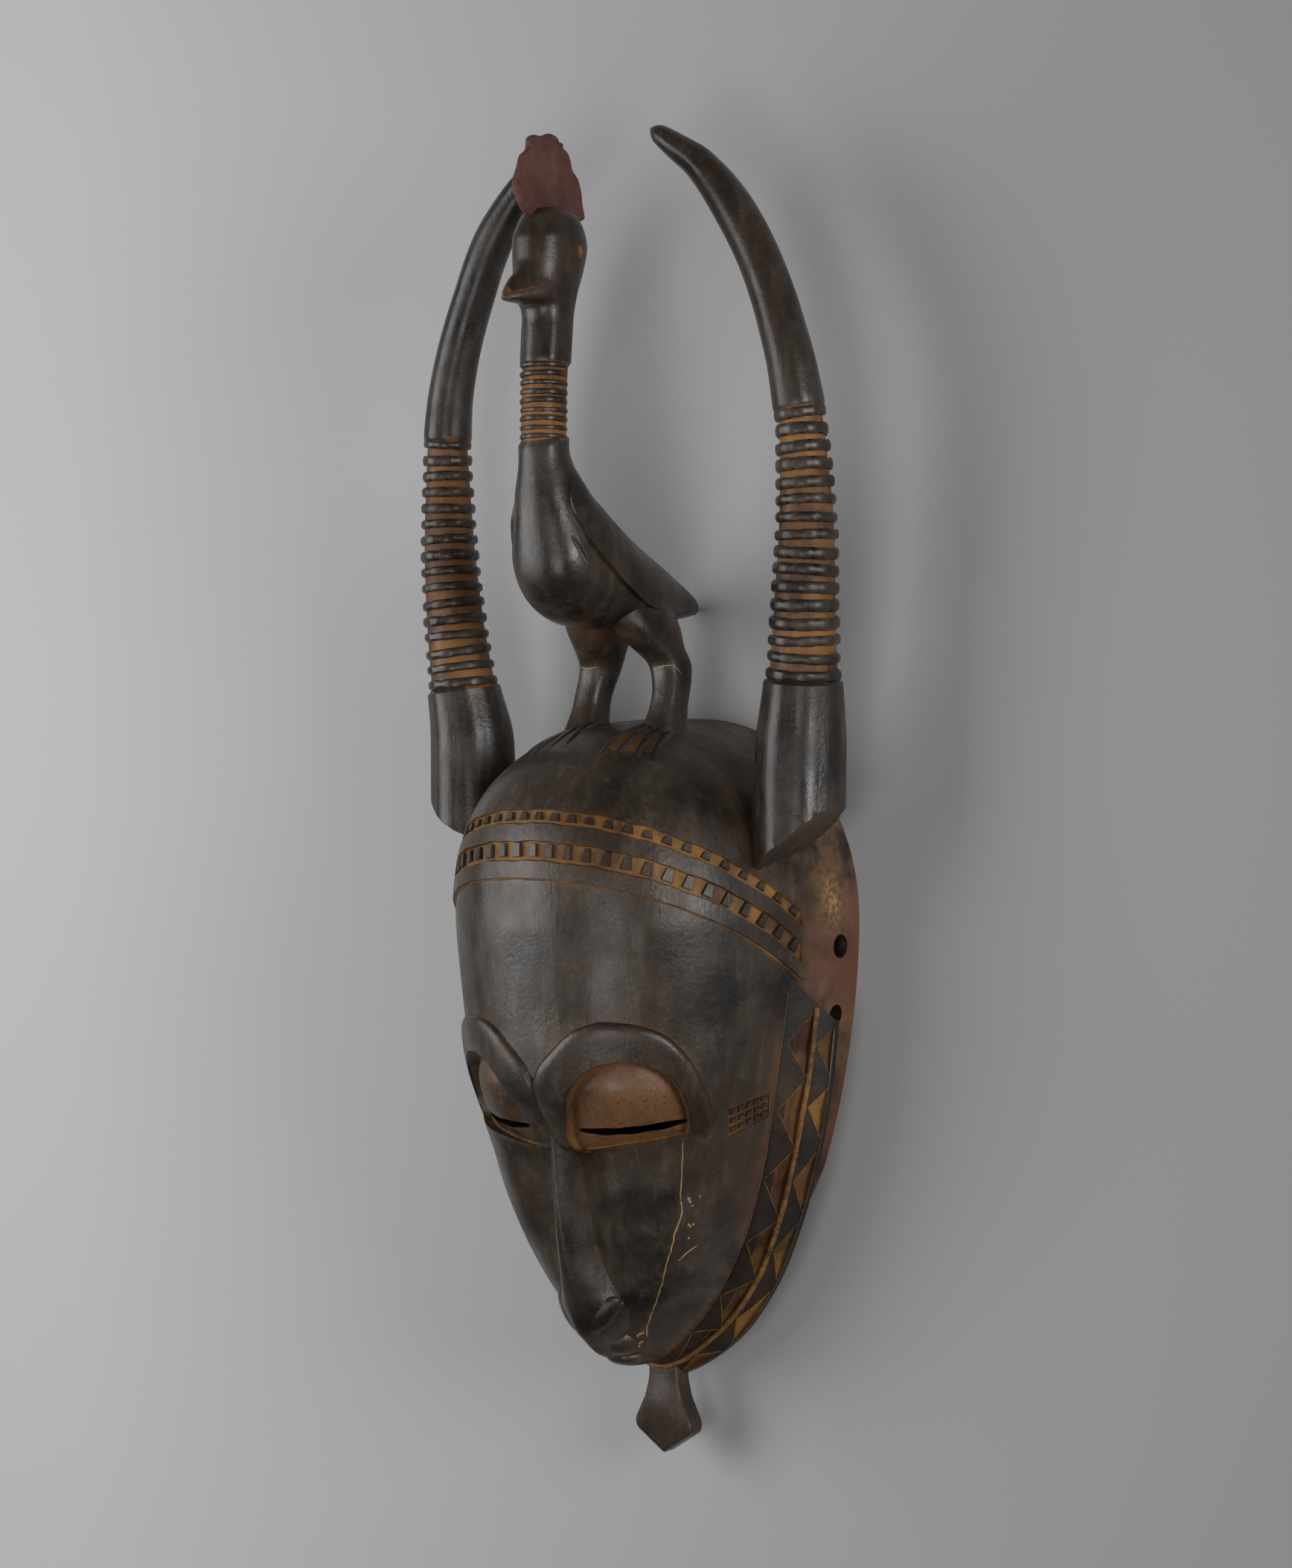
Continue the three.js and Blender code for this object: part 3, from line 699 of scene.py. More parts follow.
@dataclass(frozen=True)
class RingRow:
    """Knife-cut rings round a bar: a row of low barrels with pillow-like facets along a path."""

    count: int
    width: float
    facets: int
    pillow: float
    seed: int

    def tree(self) -> bpy.types.NodeTree:
        """Geometry Nodes tree that sets faceted rings along a path, sized by the path's radius.

        Returns:
            The tree.
        """
        tree, found = open_tree(
            "carved_rings",
            {
                "Rings": ("NodeSocketInt", 8),
                "Ring Width": ("NodeSocketFloat", 0.004),
                "Facets": ("NodeSocketInt", 9),
                "Pillow": ("NodeSocketFloat", 0.05),
                "Seed": ("NodeSocketInt", 0),
                "Finish": ("NodeSocketMaterial", None),
            },
        )
        # each facet swells in its middle and narrows towards its ends, and the barrel sinks at both edges
        sums = (
            ("corners", "MULTIPLY", "Facets", 6.0),
            ("angle", "ARCTAN2", "y", "x"),
            ("turns", "DIVIDE", "angle", 2 * math.pi),
            ("facet", "MULTIPLY", "turns", "Facets"),
            ("part", "FRACT", "facet"),
            ("aside", "SUBTRACT", "part", 0.5),
            ("away", "ABSOLUTE", "aside"),
            ("wide", "MULTIPLY", "away", 2.0),
            ("rounded", "POWER", "wide", 3.4),
            ("middle", "SUBTRACT", 1.0, "rounded"),
            ("tall", "MULTIPLY", "z", 2.0),
            ("high", "ABSOLUTE", "tall"),
            ("across", "POWER", "high", 4.0),
            ("crown", "SUBTRACT", 1.0, "across"),
            ("facing", "MULTIPLY", "middle", "crown"),
            ("swell", "MULTIPLY", "facing", "Pillow"),
            ("sunk", "MULTIPLY_ADD", "across", -0.035, 1.0),
            ("radial", "ADD", "sunk", "swell"),
            ("narrow", "MULTIPLY_ADD", "middle", 0.32, 0.68),
            ("new x", "MULTIPLY", "x", "radial"),
            ("new y", "MULTIPLY", "y", "radial"),
            ("new z", "MULTIPLY", "z", "narrow"),
        )
        breadth = {2: 0.86, 3: 1.12, "Seed": "Seed"}
        tilt = {"Min": (-0.035, -0.035, -0.3), "Max": (0.035, 0.035, 0.3), "Seed": "Seed"}
        rows = (
            ({"place": 0}, "GeometryNodeInputPosition", {}, {}),
            ({"x": "X", "y": "Y", "z": "Z"}, "ShaderNodeSeparateXYZ", {0: "place"}, {}),
            *(
                ({name: 0}, "ShaderNodeMath", dict(enumerate(values)), {"operation": operation})
                for name, operation, *values in sums
            ),
            (
                {"barrel": "Mesh"},
                "GeometryNodeMeshCylinder",
                {"Vertices": "corners", "Side Segments": 5, "Radius": 1.0, "Depth": 1.0},
                {},
            ),
            ({"moved": 0}, "ShaderNodeCombineXYZ", {"X": "new x", "Y": "new y", "Z": "new z"}, {}),
            ({"ring": 0}, "GeometryNodeSetPosition", {"Geometry": "barrel", "Position": "moved"}, {}),
            (
                {"points": "Points", "heading": "Rotation"},
                "GeometryNodeCurveToPoints",
                {"Curve": "Geometry", "Count": "Rings"},
                {"mode": "COUNT"},
            ),
            ({"radius": 0}, "GeometryNodeInputRadius", {}, {}),
            ({"uneven": 1}, "FunctionNodeRandomValue", breadth, {"data_type": "FLOAT"}),
            ({"width": 0}, "ShaderNodeMath", {0: "uneven", 1: "Ring Width"}, {"operation": "MULTIPLY"}),
            ({"scale": 0}, "ShaderNodeCombineXYZ", {"X": "radius", "Y": "radius", "Z": "width"}, {}),
            ({"tilt": 0}, "FunctionNodeRandomValue", tilt, {"data_type": "FLOAT_VECTOR"}),
            ({"twist": 0}, "FunctionNodeEulerToRotation", {0: "tilt"}, {}),
            (
                {"turned": 0},
                "FunctionNodeRotateRotation",
                {"Rotation": "heading", "Rotate By": "twist"},
                {"rotation_space": "LOCAL"},
            ),
            (
                {"stamps": 0},
                "GeometryNodeInstanceOnPoints",
                {"Points": "points", "Instance": "ring", "Rotation": "turned", "Scale": "scale"},
                {},
            ),
            *DRESSING,
        )
        wired(tree, found, rows)
        return tree

    def run(self, shop: Workshop, name: str, path: Array, radii: Array) -> Solid:
        """Set the rings along a path.

        Args:
            shop: where solids are made.
            name: name of the result.
            path: points of the middle line, from the first ring's middle to the last's.
            radii: outer radius at each point.

        Returns:
            All the rings as one object.
        """
        line = bpy.data.curves.new("path", "CURVE")
        line.dimensions = "3D"
        line.twist_mode = "Z_UP"
        spline = line.splines.new("POLY")
        spline.points.add(len(path) - 1)
        for point, place, radius in zip(spline.points, path, radii):
            point.co = (*(place * MM), 1.0)
            point.radius = radius * MM
        values = {
            "Rings": self.count,
            "Ring Width": self.width * MM,
            "Facets": self.facets,
            "Pillow": self.pillow,
            "Seed": self.seed,
            "Finish": shop.materials[Finish.STAIN.value],
        }
        return shop.adopt(name, grown(self.tree(), placed("path", line), values), Finish.STAIN)


# ---------------------------------------------------------------- face shell
@dataclass(frozen=True)
class FaceForm:
    """Plain form of the head, from which every carved feature is set off."""

    crown_y: float = 31.5
    widest_y: float = -44.5
    chin_y: float = -212.5
    half_width: float = 74.0
    depth: float = 106.0
    wall: float = 9.5
    front_wall: float = 16.0
    rim_tuck: float = 3.0
    hairline: float = -27.0
    cap_step: float = 1.2
    band_end: float = 0.76
    band_drop: float = 37.0
    ledge_y: tuple[float, float] = (-126.4, -119.4)
    profile: Curve = Curve(
        [
            (-212.5, 0), (-211, 30), (-206, 48), (-195, 58.5), (-178.5, 69), (-148.5, 80),
            (-131.5, 84.5), (-118.5, 91), (-100, 100.3), (-78.5, 102.5), (-44.5, 106),
        ]
    )
    squareness: Curve = Curve(
        [(-212.5, 2.6), (-143.5, 2.8), (-131.5, 2.75), (-103.5, 2.36), (-78.5, 2.27), (31.5, 2.4)]
    )
    cheek: Curve = Curve([(-202, 0), (-181, 0.9), (-166, 2.4), (-146, 4.4), (-122, 6.5), (-108, 6.5)])
    nose_half: Curve = Curve(
        [
            (-206, 3), (-200, 6), (-192, 11.5), (-184.5, 14.6), (-178, 12), (-168, 9.4), (-155, 7.8),
            (-140, 6.2), (-123, 5.4), (-98.5, 5),
        ]
    )

    def section(self, y: Array, inset: float = 0.0) -> tuple[Array, Array, Array]:
        """Half-width, depth and squareness of the section at height y.

        Args:
            y: heights on the mask.
            inset: how far inside the skin.

        Returns:
            A value of each for every height.
        """
        top = self.crown_y - inset * 1.2
        chin = self.chin_y + inset * 1.8
        up = np.clip((y - self.widest_y) / (top - self.widest_y), 0, 1)
        low = np.clip((self.widest_y - y) / (self.widest_y - chin), 0, 1)
        half = self.half_width - inset
        inward = inset * self.front_wall / self.wall
        lower = np.maximum(self.profile(mix(self.widest_y, self.chin_y, low)) * (1 - inward / self.depth), 0)
        depth = np.where(y > self.widest_y, (self.depth - inward) * (1 - up**3) ** (1 / 3), lower)
        width = half * np.where(
            y > self.widest_y, (1 - up**2.1) ** (1 / 2.1), (1 - low**1.78) ** (1 / 1.78)
        )
        return width, depth, self.squareness(y)

    def skin(self, y: Any, fraction: Any, rise: Any = 0.0, inset: float = 0.0) -> tuple[Array, Array, Array]:
        """Points at a fraction of the half-girth from the mid-line, raised off the plain skin.

        Args:
            y: heights on the mask.
            fraction: from -1 at the left rim to 1 at the right rim.
            rise: distance off the skin.
            inset: how far inside the skin, for the hollow.

        Returns:
            Points, distances along the skin from the mid-line, and half-girths.
        """
        y, fraction, rise = spread(y, fraction, rise)
        shape = y.shape
        y, fraction, rise = y.ravel(), fraction.ravel(), rise.ravel()
        width, depth, square = self.section(y, inset)
        steps = 96
        angle = np.linspace(0, math.pi / 2, steps + 1)
        power = (2 / square)[:, None]
        xs = width[:, None] * np.sin(angle)[None, :] ** power
        zs = depth[:, None] * np.abs(np.cos(angle))[None, :] ** power
        run = np.hypot(np.diff(xs, axis=1), np.diff(zs, axis=1))
        lengths = np.concatenate([np.zeros((len(y), 1)), np.cumsum(run, axis=1)], axis=1)
        girth = lengths[:, -1]
        wanted = np.abs(fraction) * girth
        rows = np.arange(len(y))

        def walk(distance: Array) -> tuple[Array, Array]:
            """Point on the section a distance from the mid-line.

            Args:
                distance: distances along the section, below 0 to the left.

            Returns:
                Values of x and z.
            """
            far = np.minimum(np.abs(distance), girth)
            k = np.clip((lengths < far[:, None]).sum(axis=1), 1, steps)
            a, b = lengths[rows, k - 1], lengths[rows, k]
            t = np.clip((far - a) / np.maximum(b - a, 1e-9), 0, 1)
            x = mix(xs[rows, k - 1], xs[rows, k], t)
            return np.where(distance < 0, -x, x), mix(zs[rows, k - 1], zs[rows, k], t)

        x, z = walk(wanted)
        (x0, z0), (x1, z1) = walk(wanted - 0.9), walk(wanted + 0.9)
        length = np.maximum(np.hypot(x1 - x0, z1 - z0), 1e-9)
        normal_x, normal_z = (z0 - z1) / length, (x1 - x0) / length
        z = np.maximum(z + normal_z * rise, 0)
        tuck = self.rim_tuck * smooth((-132 - y) / 30) * smooth((y - self.chin_y) / 20) * (1 - smooth(z / 24))
        x = x + normal_x * rise - tuck * np.abs(fraction) * (inset == 0)
        side = np.where(fraction < 0, -1.0, 1.0)
        points = np.stack([side * x, y, z], axis=-1).reshape(*shape, 3)
        return points, wanted.reshape(shape), girth.reshape(shape)

    def at(self, u: Any, y: Any, rise: Any = 0.0) -> Array:
        """Points on the plain skin a distance u along it from the mid-line, raised off it.

        Args:
            u: distances from the mid-line.
            y: heights on the mask.
            rise: distances off the skin.

        Returns:
            Rows of x, y, z.
        """
        u, y, rise = spread(u, y, rise)
        girth = self.skin(y, 0.0)[2]
        return self.skin(y, u / girth, rise)[0]

    def hollow_cheek(self, u: Array, y: Array) -> Array:
        """Soft hollow of the cheeks beside the nose, in millimetres off the plain skin.

        Args:
            u: distances from the mid-line.
            y: heights on the mask.

        Returns:
            Distances, below 0 inwards.
        """
        ledge = mix(self.ledge_y[0], self.ledge_y[1], np.clip((u - 8) / 44, 0, 1))
        below = 1 - smooth((y - ledge + 1.5) / 3.5)
        beyond = u - self.nose_half(y)
        beside = bump(np.maximum(beyond - 2, 0) / 15)
        return -self.cheek(y) * beside * below

    def row_height(self, row: Any, fraction: Any) -> Array:
        """Height of a row that is named by its height on the mid-line and sags towards the sides.

        Args:
            row: heights on the mid-line.
            fraction: from -1 at the left rim to 1 at the right rim.

        Returns:
            Heights on the mask.
        """
        sag = self.band_drop * smooth((self.crown_y - row) / 30) * smooth((row + 110) / 83)
        return row - sag * np.minimum(np.abs(fraction) / self.band_end, 1) ** 2.1

    def carved(self, row: Any, fraction: Any, extra: Any = 0.0) -> Array:
        """Points on the carved skin of a sagging row.

        Args:
            row: heights on the mid-line.
            fraction: from -1 at the left rim to 1 at the right rim.
            extra: distances off the carved skin.

        Returns:
            Rows of x, y, z.
        """
        row, fraction, extra = spread(row, fraction, extra)
        y = self.row_height(row, fraction)
        u = self.skin(y, fraction)[1]
        cap = np.where(
            row > self.hairline, self.cap_step * (1 - smooth((np.abs(fraction) - 0.74) / 0.08)), 0.0
        )
        return self.skin(y, fraction, cap + self.hollow_cheek(u, y) + extra)[0]

    def axes(self, row: float, fraction: float) -> tuple[Array, Array]:
        """Point on the carved skin, and the directions along the row, up the face and off the skin.

        Args:
            row: height on the mid-line.
            fraction: from -1 at the left rim to 1 at the right rim.

        Returns:
            The point, and its three directions.
        """
        near = self.carved(
            np.array([row, row, row, row + 0.7, row - 0.7]),
            np.array([fraction, fraction + 0.005, fraction - 0.005, fraction, fraction]),
        )
        along = unit(near[1] - near[2])
        up = near[3] - near[4]
        off = unit(np.cross(along, up))
        return near[0], np.array([along, np.cross(off, along), off])


@dataclass
class Carving:
    """Part of the mask, carved in a workshop and set off the plain form of the head."""

    shop: Workshop
    form: FaceForm


@dataclass
class HeadShell(Carving):
    """Oval head with its scooped back and cord holes."""

    spacing: float = 1.9
    rim_holes: tuple[float, float] = (-53.0, -78.5)
    hole_radius: float = 3.7
    hole_z: float = 12.0
    # distance from the middle and extra radius along a cord hole, which flares outwards
    hole_flare: tuple = ((40.0, 0.0), (66.0, 0.0), (69.5, 0.0), (71.5, 0.25), (73.5, 0.7), (100.0, 1.2))
    # steps from the crown and from the chin to the first rows, close together where the skin is steep
    crown_steps: tuple = (0.004, 0.03, 0.1, 0.25, 0.5, 0.9, 1.5, 2.4, 3.6, 5.0)
    chin_steps: tuple = (6.2, 4.9, 3.7, 2.7, 1.8, 1.1, 0.6, 0.3, 0.1, 0.02)

    def rows(self) -> Array:
        """Rows from crown to chin, close at both ends and at the step of the hairline.

        Returns:
            Heights on the mid-line.
        """
        form = self.form
        start = form.crown_y - np.array(self.crown_steps)
        upper = np.arange(form.crown_y - 6.6, form.hairline + 0.9, -self.spacing)
        lower = np.arange(form.hairline - 1.2, -205, -self.spacing)
        end = form.chin_y + np.array(self.chin_steps)
        step = [form.hairline + 0.12, form.hairline - 0.12]
        return np.concatenate([start, upper, step, lower, end])

    def shell(self) -> Solid:
        """The head as a solid block, with soft knife facets on its skin.

        Returns:
            The block.
        """
        columns = np.linspace(-1, 1, int(2 * 145 / self.spacing) + 1)
        rows = self.rows()
        grid = np.broadcast_to(columns, (len(rows), len(columns)))
        plain = self.form.carved(rows[:, None], grid)
        facets = 0.16 * ripple(plain * [1, 0.6, 1], 11.0, 1.0)
        facets *= 1 - np.abs(grid) ** 12
        return self.shop.loft("face_block", self.form.carved(rows[:, None], grid, facets), Finish.HEAD)

    def hollow(self) -> Solid:
        """Scooped back, with the marks of the gouge.

        Returns:
            The cutter.
        """
        form = self.form
        low, high = form.chin_y + form.wall * 1.8 + 0.4, form.crown_y - form.wall * 1.2 - 0.3
        y = mix(low, high, 0.5 - 0.5 * np.cos(np.linspace(0, math.pi, 46)))
        columns = np.linspace(-1, 1, 61)
        grid = np.broadcast_to(columns, (len(y), len(columns)))
        plain = form.skin(y[:, None], grid, 0.0, form.wall)[0]
        gouge = 0.7 * np.abs(ripple(plain * [1, 0.45, 1], 9.0, 5.0))
        arcs = form.skin(y[:, None], grid, gouge * (1 - np.abs(grid) ** 8), form.wall)[0]
        left, right = arcs[:, :1].copy(), arcs[:, -1:].copy()
        left[..., 2] = right[..., 2] = -5
        return self.shop.loft("hollow", np.concatenate([left, arcs, right], axis=1), Finish.RAW)

    def holes(self) -> list[Solid]:
        """Drills for the cord holes through both side walls.

        Returns:
            The drills.
        """
        made = []
        for side in SIDES:
            for y in self.rim_holes:
                rings = []
                for x, flare in self.hole_flare:
                    radius = self.hole_radius + flare
                    turn = [(radius * math.cos(a), radius * math.sin(a)) for a in circle(28)]
                    rings.append([(side * x, y + across, self.hole_z + up) for across, up in turn])
                # the walls of the holes take the darkest finish, which is painted shade inside the holes
                made.append(self.shop.loft("cord_hole", np.array(rings), Finish.FLAT))
        return made


# ---------------------------------------------------------------- brows, eyes, nose, mouth
def through(points: Any, count: int, closed: bool = False, passes: int = 2) -> Array:
    """Evenly spaced points on a softened line.

    Args:
        points: corners of the line.
        count: how many points to give.
        closed: whether the line ends where it starts.
        passes: how often it is softened.

    Returns:
        Rows of coordinates.
    """
    line = np.array(points, float)
    if closed:
        line = np.concatenate([line, line[:1]])
    reach = np.concatenate([[0], np.cumsum(np.linalg.norm(np.diff(line, axis=0), axis=1))])
    place = np.linspace(0, reach[-1], count + closed)[:count]
    made = np.stack([np.interp(place, reach, column) for column in line.T], axis=1)
    for _ in range(passes):
        soft = 0.5 * made + 0.25 * (np.roll(made, 1, axis=0) + np.roll(made, -1, axis=0))
        made = soft if closed else np.concatenate([made[:1], soft[1:-1], made[-1:]])
    return made


def pebble(middle: Sequence[float], half: Sequence[float], square: float = 2.0, axes: Any = None) -> Array:
    """Rings of a rounded block.

    Args:
        middle: its middle.
        half: its half sizes.
        square: 2 gives an ellipsoid, more a block with soft corners.
        axes: directions of its three half sizes.

    Returns:
        Rings of points along its third axis.
    """
    across, around = np.linspace(0, math.pi, 21)[1:-1], circle(32)

    def lobe(value: Array) -> Array:
        """Cosine or sine made squarer."""
        return np.sign(value) * np.abs(value) ** (2 / square)

    x = half[0] * lobe(np.sin(across))[:, None] * lobe(np.cos(around))[None, :]
    y = half[1] * lobe(np.sin(across))[:, None] * lobe(np.sin(around))[None, :]
    z = half[2] * np.broadcast_to(lobe(np.cos(across))[:, None], x.shape)
    points = np.stack([x, y, z], axis=-1)
    return (points if axes is None else points @ np.array(axes)) + np.array(middle)


def settled(block: Solid, points: Array) -> Array:
    """Nearest points on the surface of a block, in millimetres.

    Args:
        block: the block.
        points: rows of x, y, z.

    Returns:
        Rows of x, y, z.
    """
    tree = BVHTree.FromObject(block, bpy.context.evaluated_depsgraph_get())
    return np.array([tree.find_nearest(Vector(p) * MM)[0] for p in points]) / MM


@dataclass
class Features(Carving):
    """Brows, lids, nose and mouth, most of them measured along the skin from the mid-line."""

    # outer edge, inner edge and rise of a brow, from the flank of the nose to its outer end
    brow: tuple = (
        (-0.3, -115, 8.2, -120, 0.0), (-0.3, -110, 9.2, -115.5, 0.7), (-0.3, -103.5, 11, -109.5, 1.5),
        (2.5, -95, 14, -104, 1.9), (9.3, -88.1, 19, -98.2, 2.0),
        (18.8, -80.6, 26, -93.1, 2.0), (29.6, -77.6, 34, -91.3, 2.0), (39.7, -78.3, 42.6, -92.2, 2.0),
        (49.5, -80.9, 50, -95.2, 2.0), (57.6, -87.6, 54.6, -99.4, 2.0), (63.5, -97, 57, -104.6, 1.9),
        (65.6, -106.5, 57.2, -109.6, 1.7), (64.1, -116.1, 56.2, -114, 1.2), (60.2, -120.6, 55.4, -117.8, 0.2),
    )
    brow_section: tuple = (
        (0, -3), (0, 0), (0.04, 0.5), (0.12, 0.86), (0.25, 1.0), (0.42, 0.96), (0.62, 0.82), (0.84, 0.64),
        (1, 0.5), (1, -3),
    )
    socket: tuple = (
        (9.6, -114), (12.5, -106.5), (17.8, -99), (25.7, -93.1), (34, -91.3), (43, -92.3), (51, -95.6),
        (56.3, -102), (57.1, -109.3), (55.8, -113.8), (54, -118.2), (47.5, -119.6), (39, -120.9),
        (28.5, -122.4), (17.5, -124.4), (8.6, -125.6), (7.0, -121),
    )
    socket_middle: tuple[float, float] = (33.0, -110.0)
    lid_depth: float = 4.7
    lid_bulge: float = 3.1
    ledge: tuple = (
        (9.6, -125.6, -4.6), (17.5, -124.7, -4.4), (28.5, -122.7, -4.4),
        (39, -121.2, -4.4), (47.5, -119.9, -4.3), (53.5, -118.6, -3.9),
    )
    slit: tuple = ((10.9, -117.7), (21.1, -117.8), (31, -117), (39.6, -115.4), (44, -114), (47, -113.1))
    crest: Curve = Curve(
        [
            (-206, 56), (-203, 63), (-197, 70.2), (-194.5, 72.8), (-187.5, 76.4), (-175.5, 81),
            (-155.5, 85.8), (-137.5, 88.4), (-121.5, 90), (-107.5, 97), (-98.5, 101),
        ]
    )
    nose_height: float = 13.0
    # a wing of the nose: middle, half sizes, squareness, its long direction and the one off the nose
    wing_middle: Place = (6.9, -187.6, 69.6)
    wing_half: Place = (10.2, 5.1, 2.9)
    wing_square: float = 1.8
    wing_long: Place = (12.9, 13.0, -3.5)
    wing_off: Place = (0.62, -0.3, 0.72)
    # name, middle, half sizes and squareness
    lips: tuple = (
        ("upper_lip", (0, -198.5, 46.0), (12.0, 7.9, 14.5), 2.2),
        ("lower_lip", (0, -206.2, 39.0), (8.8, 4.4, 13.4), 2.3),
    )
    # first station of the brow that has a worn line along its outer foot
    line_from: int = 24
    crack: tuple = (
        (45.8, -121.2, 72.1), (43.3, -132.9, 69.3), (41.6, -141.4, 67.4), (40.6, -147.9, 65.1),
        (37.3, -154.4, 65.1), (35.4, -159.9, 63.7), (31.5, -167.6, 62.7), (28.6, -174.4, 60.7),
        (24.8, -181.2, 59), (20.8, -187.1, 57.2), (17.4, -192, 55.3), (14.7, -196.9, 52.1),
    )
    scratch: tuple = ((34.9, -166.1, 59.6), (37.7, -162.9, 58.2), (40.4, -160.4, 55.8))
    nicks: tuple = (
        (43.2, -142.2, 64.8, 0.9), (43.6, -143.4, 64.4, 0.7), (45.9, -141.5, 61.5, 0.5),
        (44.2, -145.2, 63.4, 0.4), (40.9, -152.0, 61.7, 0.8), (41.5, -152.9, 61.2, 0.7),
        (42.4, -152.4, 60.6, 0.9), (39.6, -157.4, 59.9, 0.5), (12.6, -195.2, 53.5, 1.7),
        (13.4, -194.5, 53.0, 1.2), (12.2, -199.6, 52.0, 1.4), (11.2, -201.0, 51.6, 0.9),
    )

    def brows(self) -> list[Solid]:
        """Raised brows that sweep from the flank of the nose over the eyes.

        Returns:
            The brows, and a worn line along each.
        """
        table = Curve([(i, *row) for i, row in enumerate(self.brow)])
        place = np.linspace(0, len(self.brow) - 1, 85)
        outer_u, outer_y, inner_u, inner_y, rise = (table(place, k)[:, None] for k in range(5))
        t, off = np.array(self.brow_section).T
        u, y = mix(outer_u, inner_u, t[None, :]), mix(outer_y, inner_y, t[None, :])
        lift = np.where(off[None, :] < 0, off[None, :], off[None, :] * rise)
        made = [self.shop.loft("brow", self.form.at(side * u, y, lift), Finish.STAIN) for side in SIDES]
        foot_u, foot_y = table(place, 0), table(place, 1)
        size = 0.2 + 0.14 * np.sin(place * 5.3) * np.sin(place * 2.1)
        for side in SIDES:
            foot = self.form.at(side * foot_u, foot_y + 0.1, 0.05)[self.line_from :]
            made.append(self.shop.ridge("brow_line", foot, size[self.line_from :], Finish.BROWN, 5))
        return made

    def sockets(self) -> list[Solid]:
        """Sunk sockets whose floor is the bulging lid.

        Returns:
            The cutters.
        """
        outline = through(self.socket, 110, closed=True)
        radial = np.concatenate([np.linspace(0, 0.9, 16)[1:], [0.94, 0.97, 0.99, 1.0]])[:, None]
        u = mix(self.socket_middle[0], outline[:, 0][None, :], radial)
        y = mix(self.socket_middle[1], outline[:, 1][None, :], radial)
        lid = -self.lid_depth + self.lid_bulge * (1 - radial**2.6) + 0 * u
        lid = lid + 0.12 * ripple(np.stack([u, y, 0 * u], -1), 5.0, 8.0)
        made = []
        for side in SIDES:
            rings = np.concatenate([self.form.at(side * u, y, lid), self.form.at(side * u, y, 9.0)[::-1]])
            made.append(self.shop.loft("socket", rings, Finish.LID))
        return made

    def ledges(self) -> list[Solid]:
        """Ochre lines on the ledge under each lower lid.

        Returns:
            The lines.
        """
        u, y, off = through(self.ledge, 60).T
        size = 0.95 + 0.15 * np.sin(u * 1.7)
        lines = (self.form.at(side * u, y, off) for side in SIDES)
        return [self.shop.ridge("ledge", line, size, Finish.OCHRE) for line in lines]

    def nose(self) -> list[Solid]:
        """Long rounded ridge that widens to its wings and tucks under at the tip, and the wings on it.

        Returns:
            The ridge and its wings.
        """
        across = np.concatenate([[-1], np.linspace(-1, 1, 25), [1]])
        down = -np.abs(across) ** 1.8
        down[[0, -1]] = -1.5
        y = np.concatenate([np.linspace(-206, -178, 24), np.linspace(-176.5, -98.5, 50)])
        rings = np.empty((len(y), len(across), 3))
        rings[..., 0] = across[None, :] * self.form.nose_half(y)[:, None]
        rings[..., 1] = y[:, None]
        rings[..., 2] = self.crest(y)[:, None] + down[None, :] * self.nose_height
        made = [self.shop.loft("nose", rings, Finish.STAIN)]
        for side in SIDES:
            mirror = np.array([side, 1, 1])
            long = unit(mirror * self.wing_long)
            off = unit(mirror * self.wing_off)
            off = unit(off - long * (off @ long))
            axes = [long, np.cross(off, long), off]
            block = pebble(mirror * self.wing_middle, self.wing_half, self.wing_square, axes)
            made.append(self.shop.loft("wing_of_the_nose", block, Finish.STAIN))
        return made

    def slits(self) -> list[Solid]:
        """Cutters of the eye slits, straight back through the lids.

        Returns:
            The cutters.
        """
        made = []
        x, y = through(self.slit, 30).T
        t = np.linspace(-1, 1, len(x))
        half = 1.1 * (1 - np.abs(t) ** 5) + 0.22 + 0.12 * np.sin(t * 12)
        for side in SIDES:
            upper, lower = (np.stack([side * x, y + edge], 1) for edge in (half, -half))
            outline = np.concatenate([upper, lower[::-1]])
            rings = np.array([[(px, py, z) for px, py in outline] for z in (35.0, 125.0)])
            # the walls of the slits take the darkest finish, which is painted shade inside the slits
            made.append(self.shop.loft("slit", rings, Finish.FLAT))
        return made

    def mouth(self) -> list[Solid]:
        """Small muzzle of two lips.

        Returns:
            The lips.
        """
        return [
            self.shop.loft(name, pebble(middle, half, square), Finish.STAIN)
            for name, middle, half, square in self.lips
        ]

    def marks(self, block: Solid) -> list[Solid]:
        """Old crack, scratch and nicks of the right cheek, where the pale wood shows.

        Args:
            block: the carved head.

        Returns:
            The cutters.
        """
        line = through(self.crack, 90)
        line[:, 0] += 0.45 * ripple(line, 2.2, 3.0) + 0.5 * ripple(line, 7.0, 4.0)
        size = 0.24 + 0.12 * ripple(line, 3.0, 6.0)
        made = [self.shop.ridge("crack", settled(block, line), size, Finish.CRACK, 6)]
        line = through(self.scratch, 16)
        size = 0.26 * np.sin(np.linspace(0.3, 2.9, 16))
        made.append(self.shop.ridge("scratch", settled(block, line), size, Finish.CRACK, 6))
        table = np.array(self.nicks)
        for place, size in zip(settled(block, table[:, :3]), table[:, 3]):
            chipped = pebble(place, (size, size * 0.7, 0.45))
            chipped += 0.25 * size * ripple(chipped, 0.9, 4.0)[..., None]
            made.append(self.shop.loft("nick", chipped, Finish.CRACK))
        return made


# ---------------------------------------------------------------- head band and scars
# steps along the skin and up the mask from a scar to points before, behind, above and below it
SCAR_STEPS = np.array([[0, 0.6, -0.6, 0, 0], [0, 0.15, -0.15, 0.6, -0.6]])


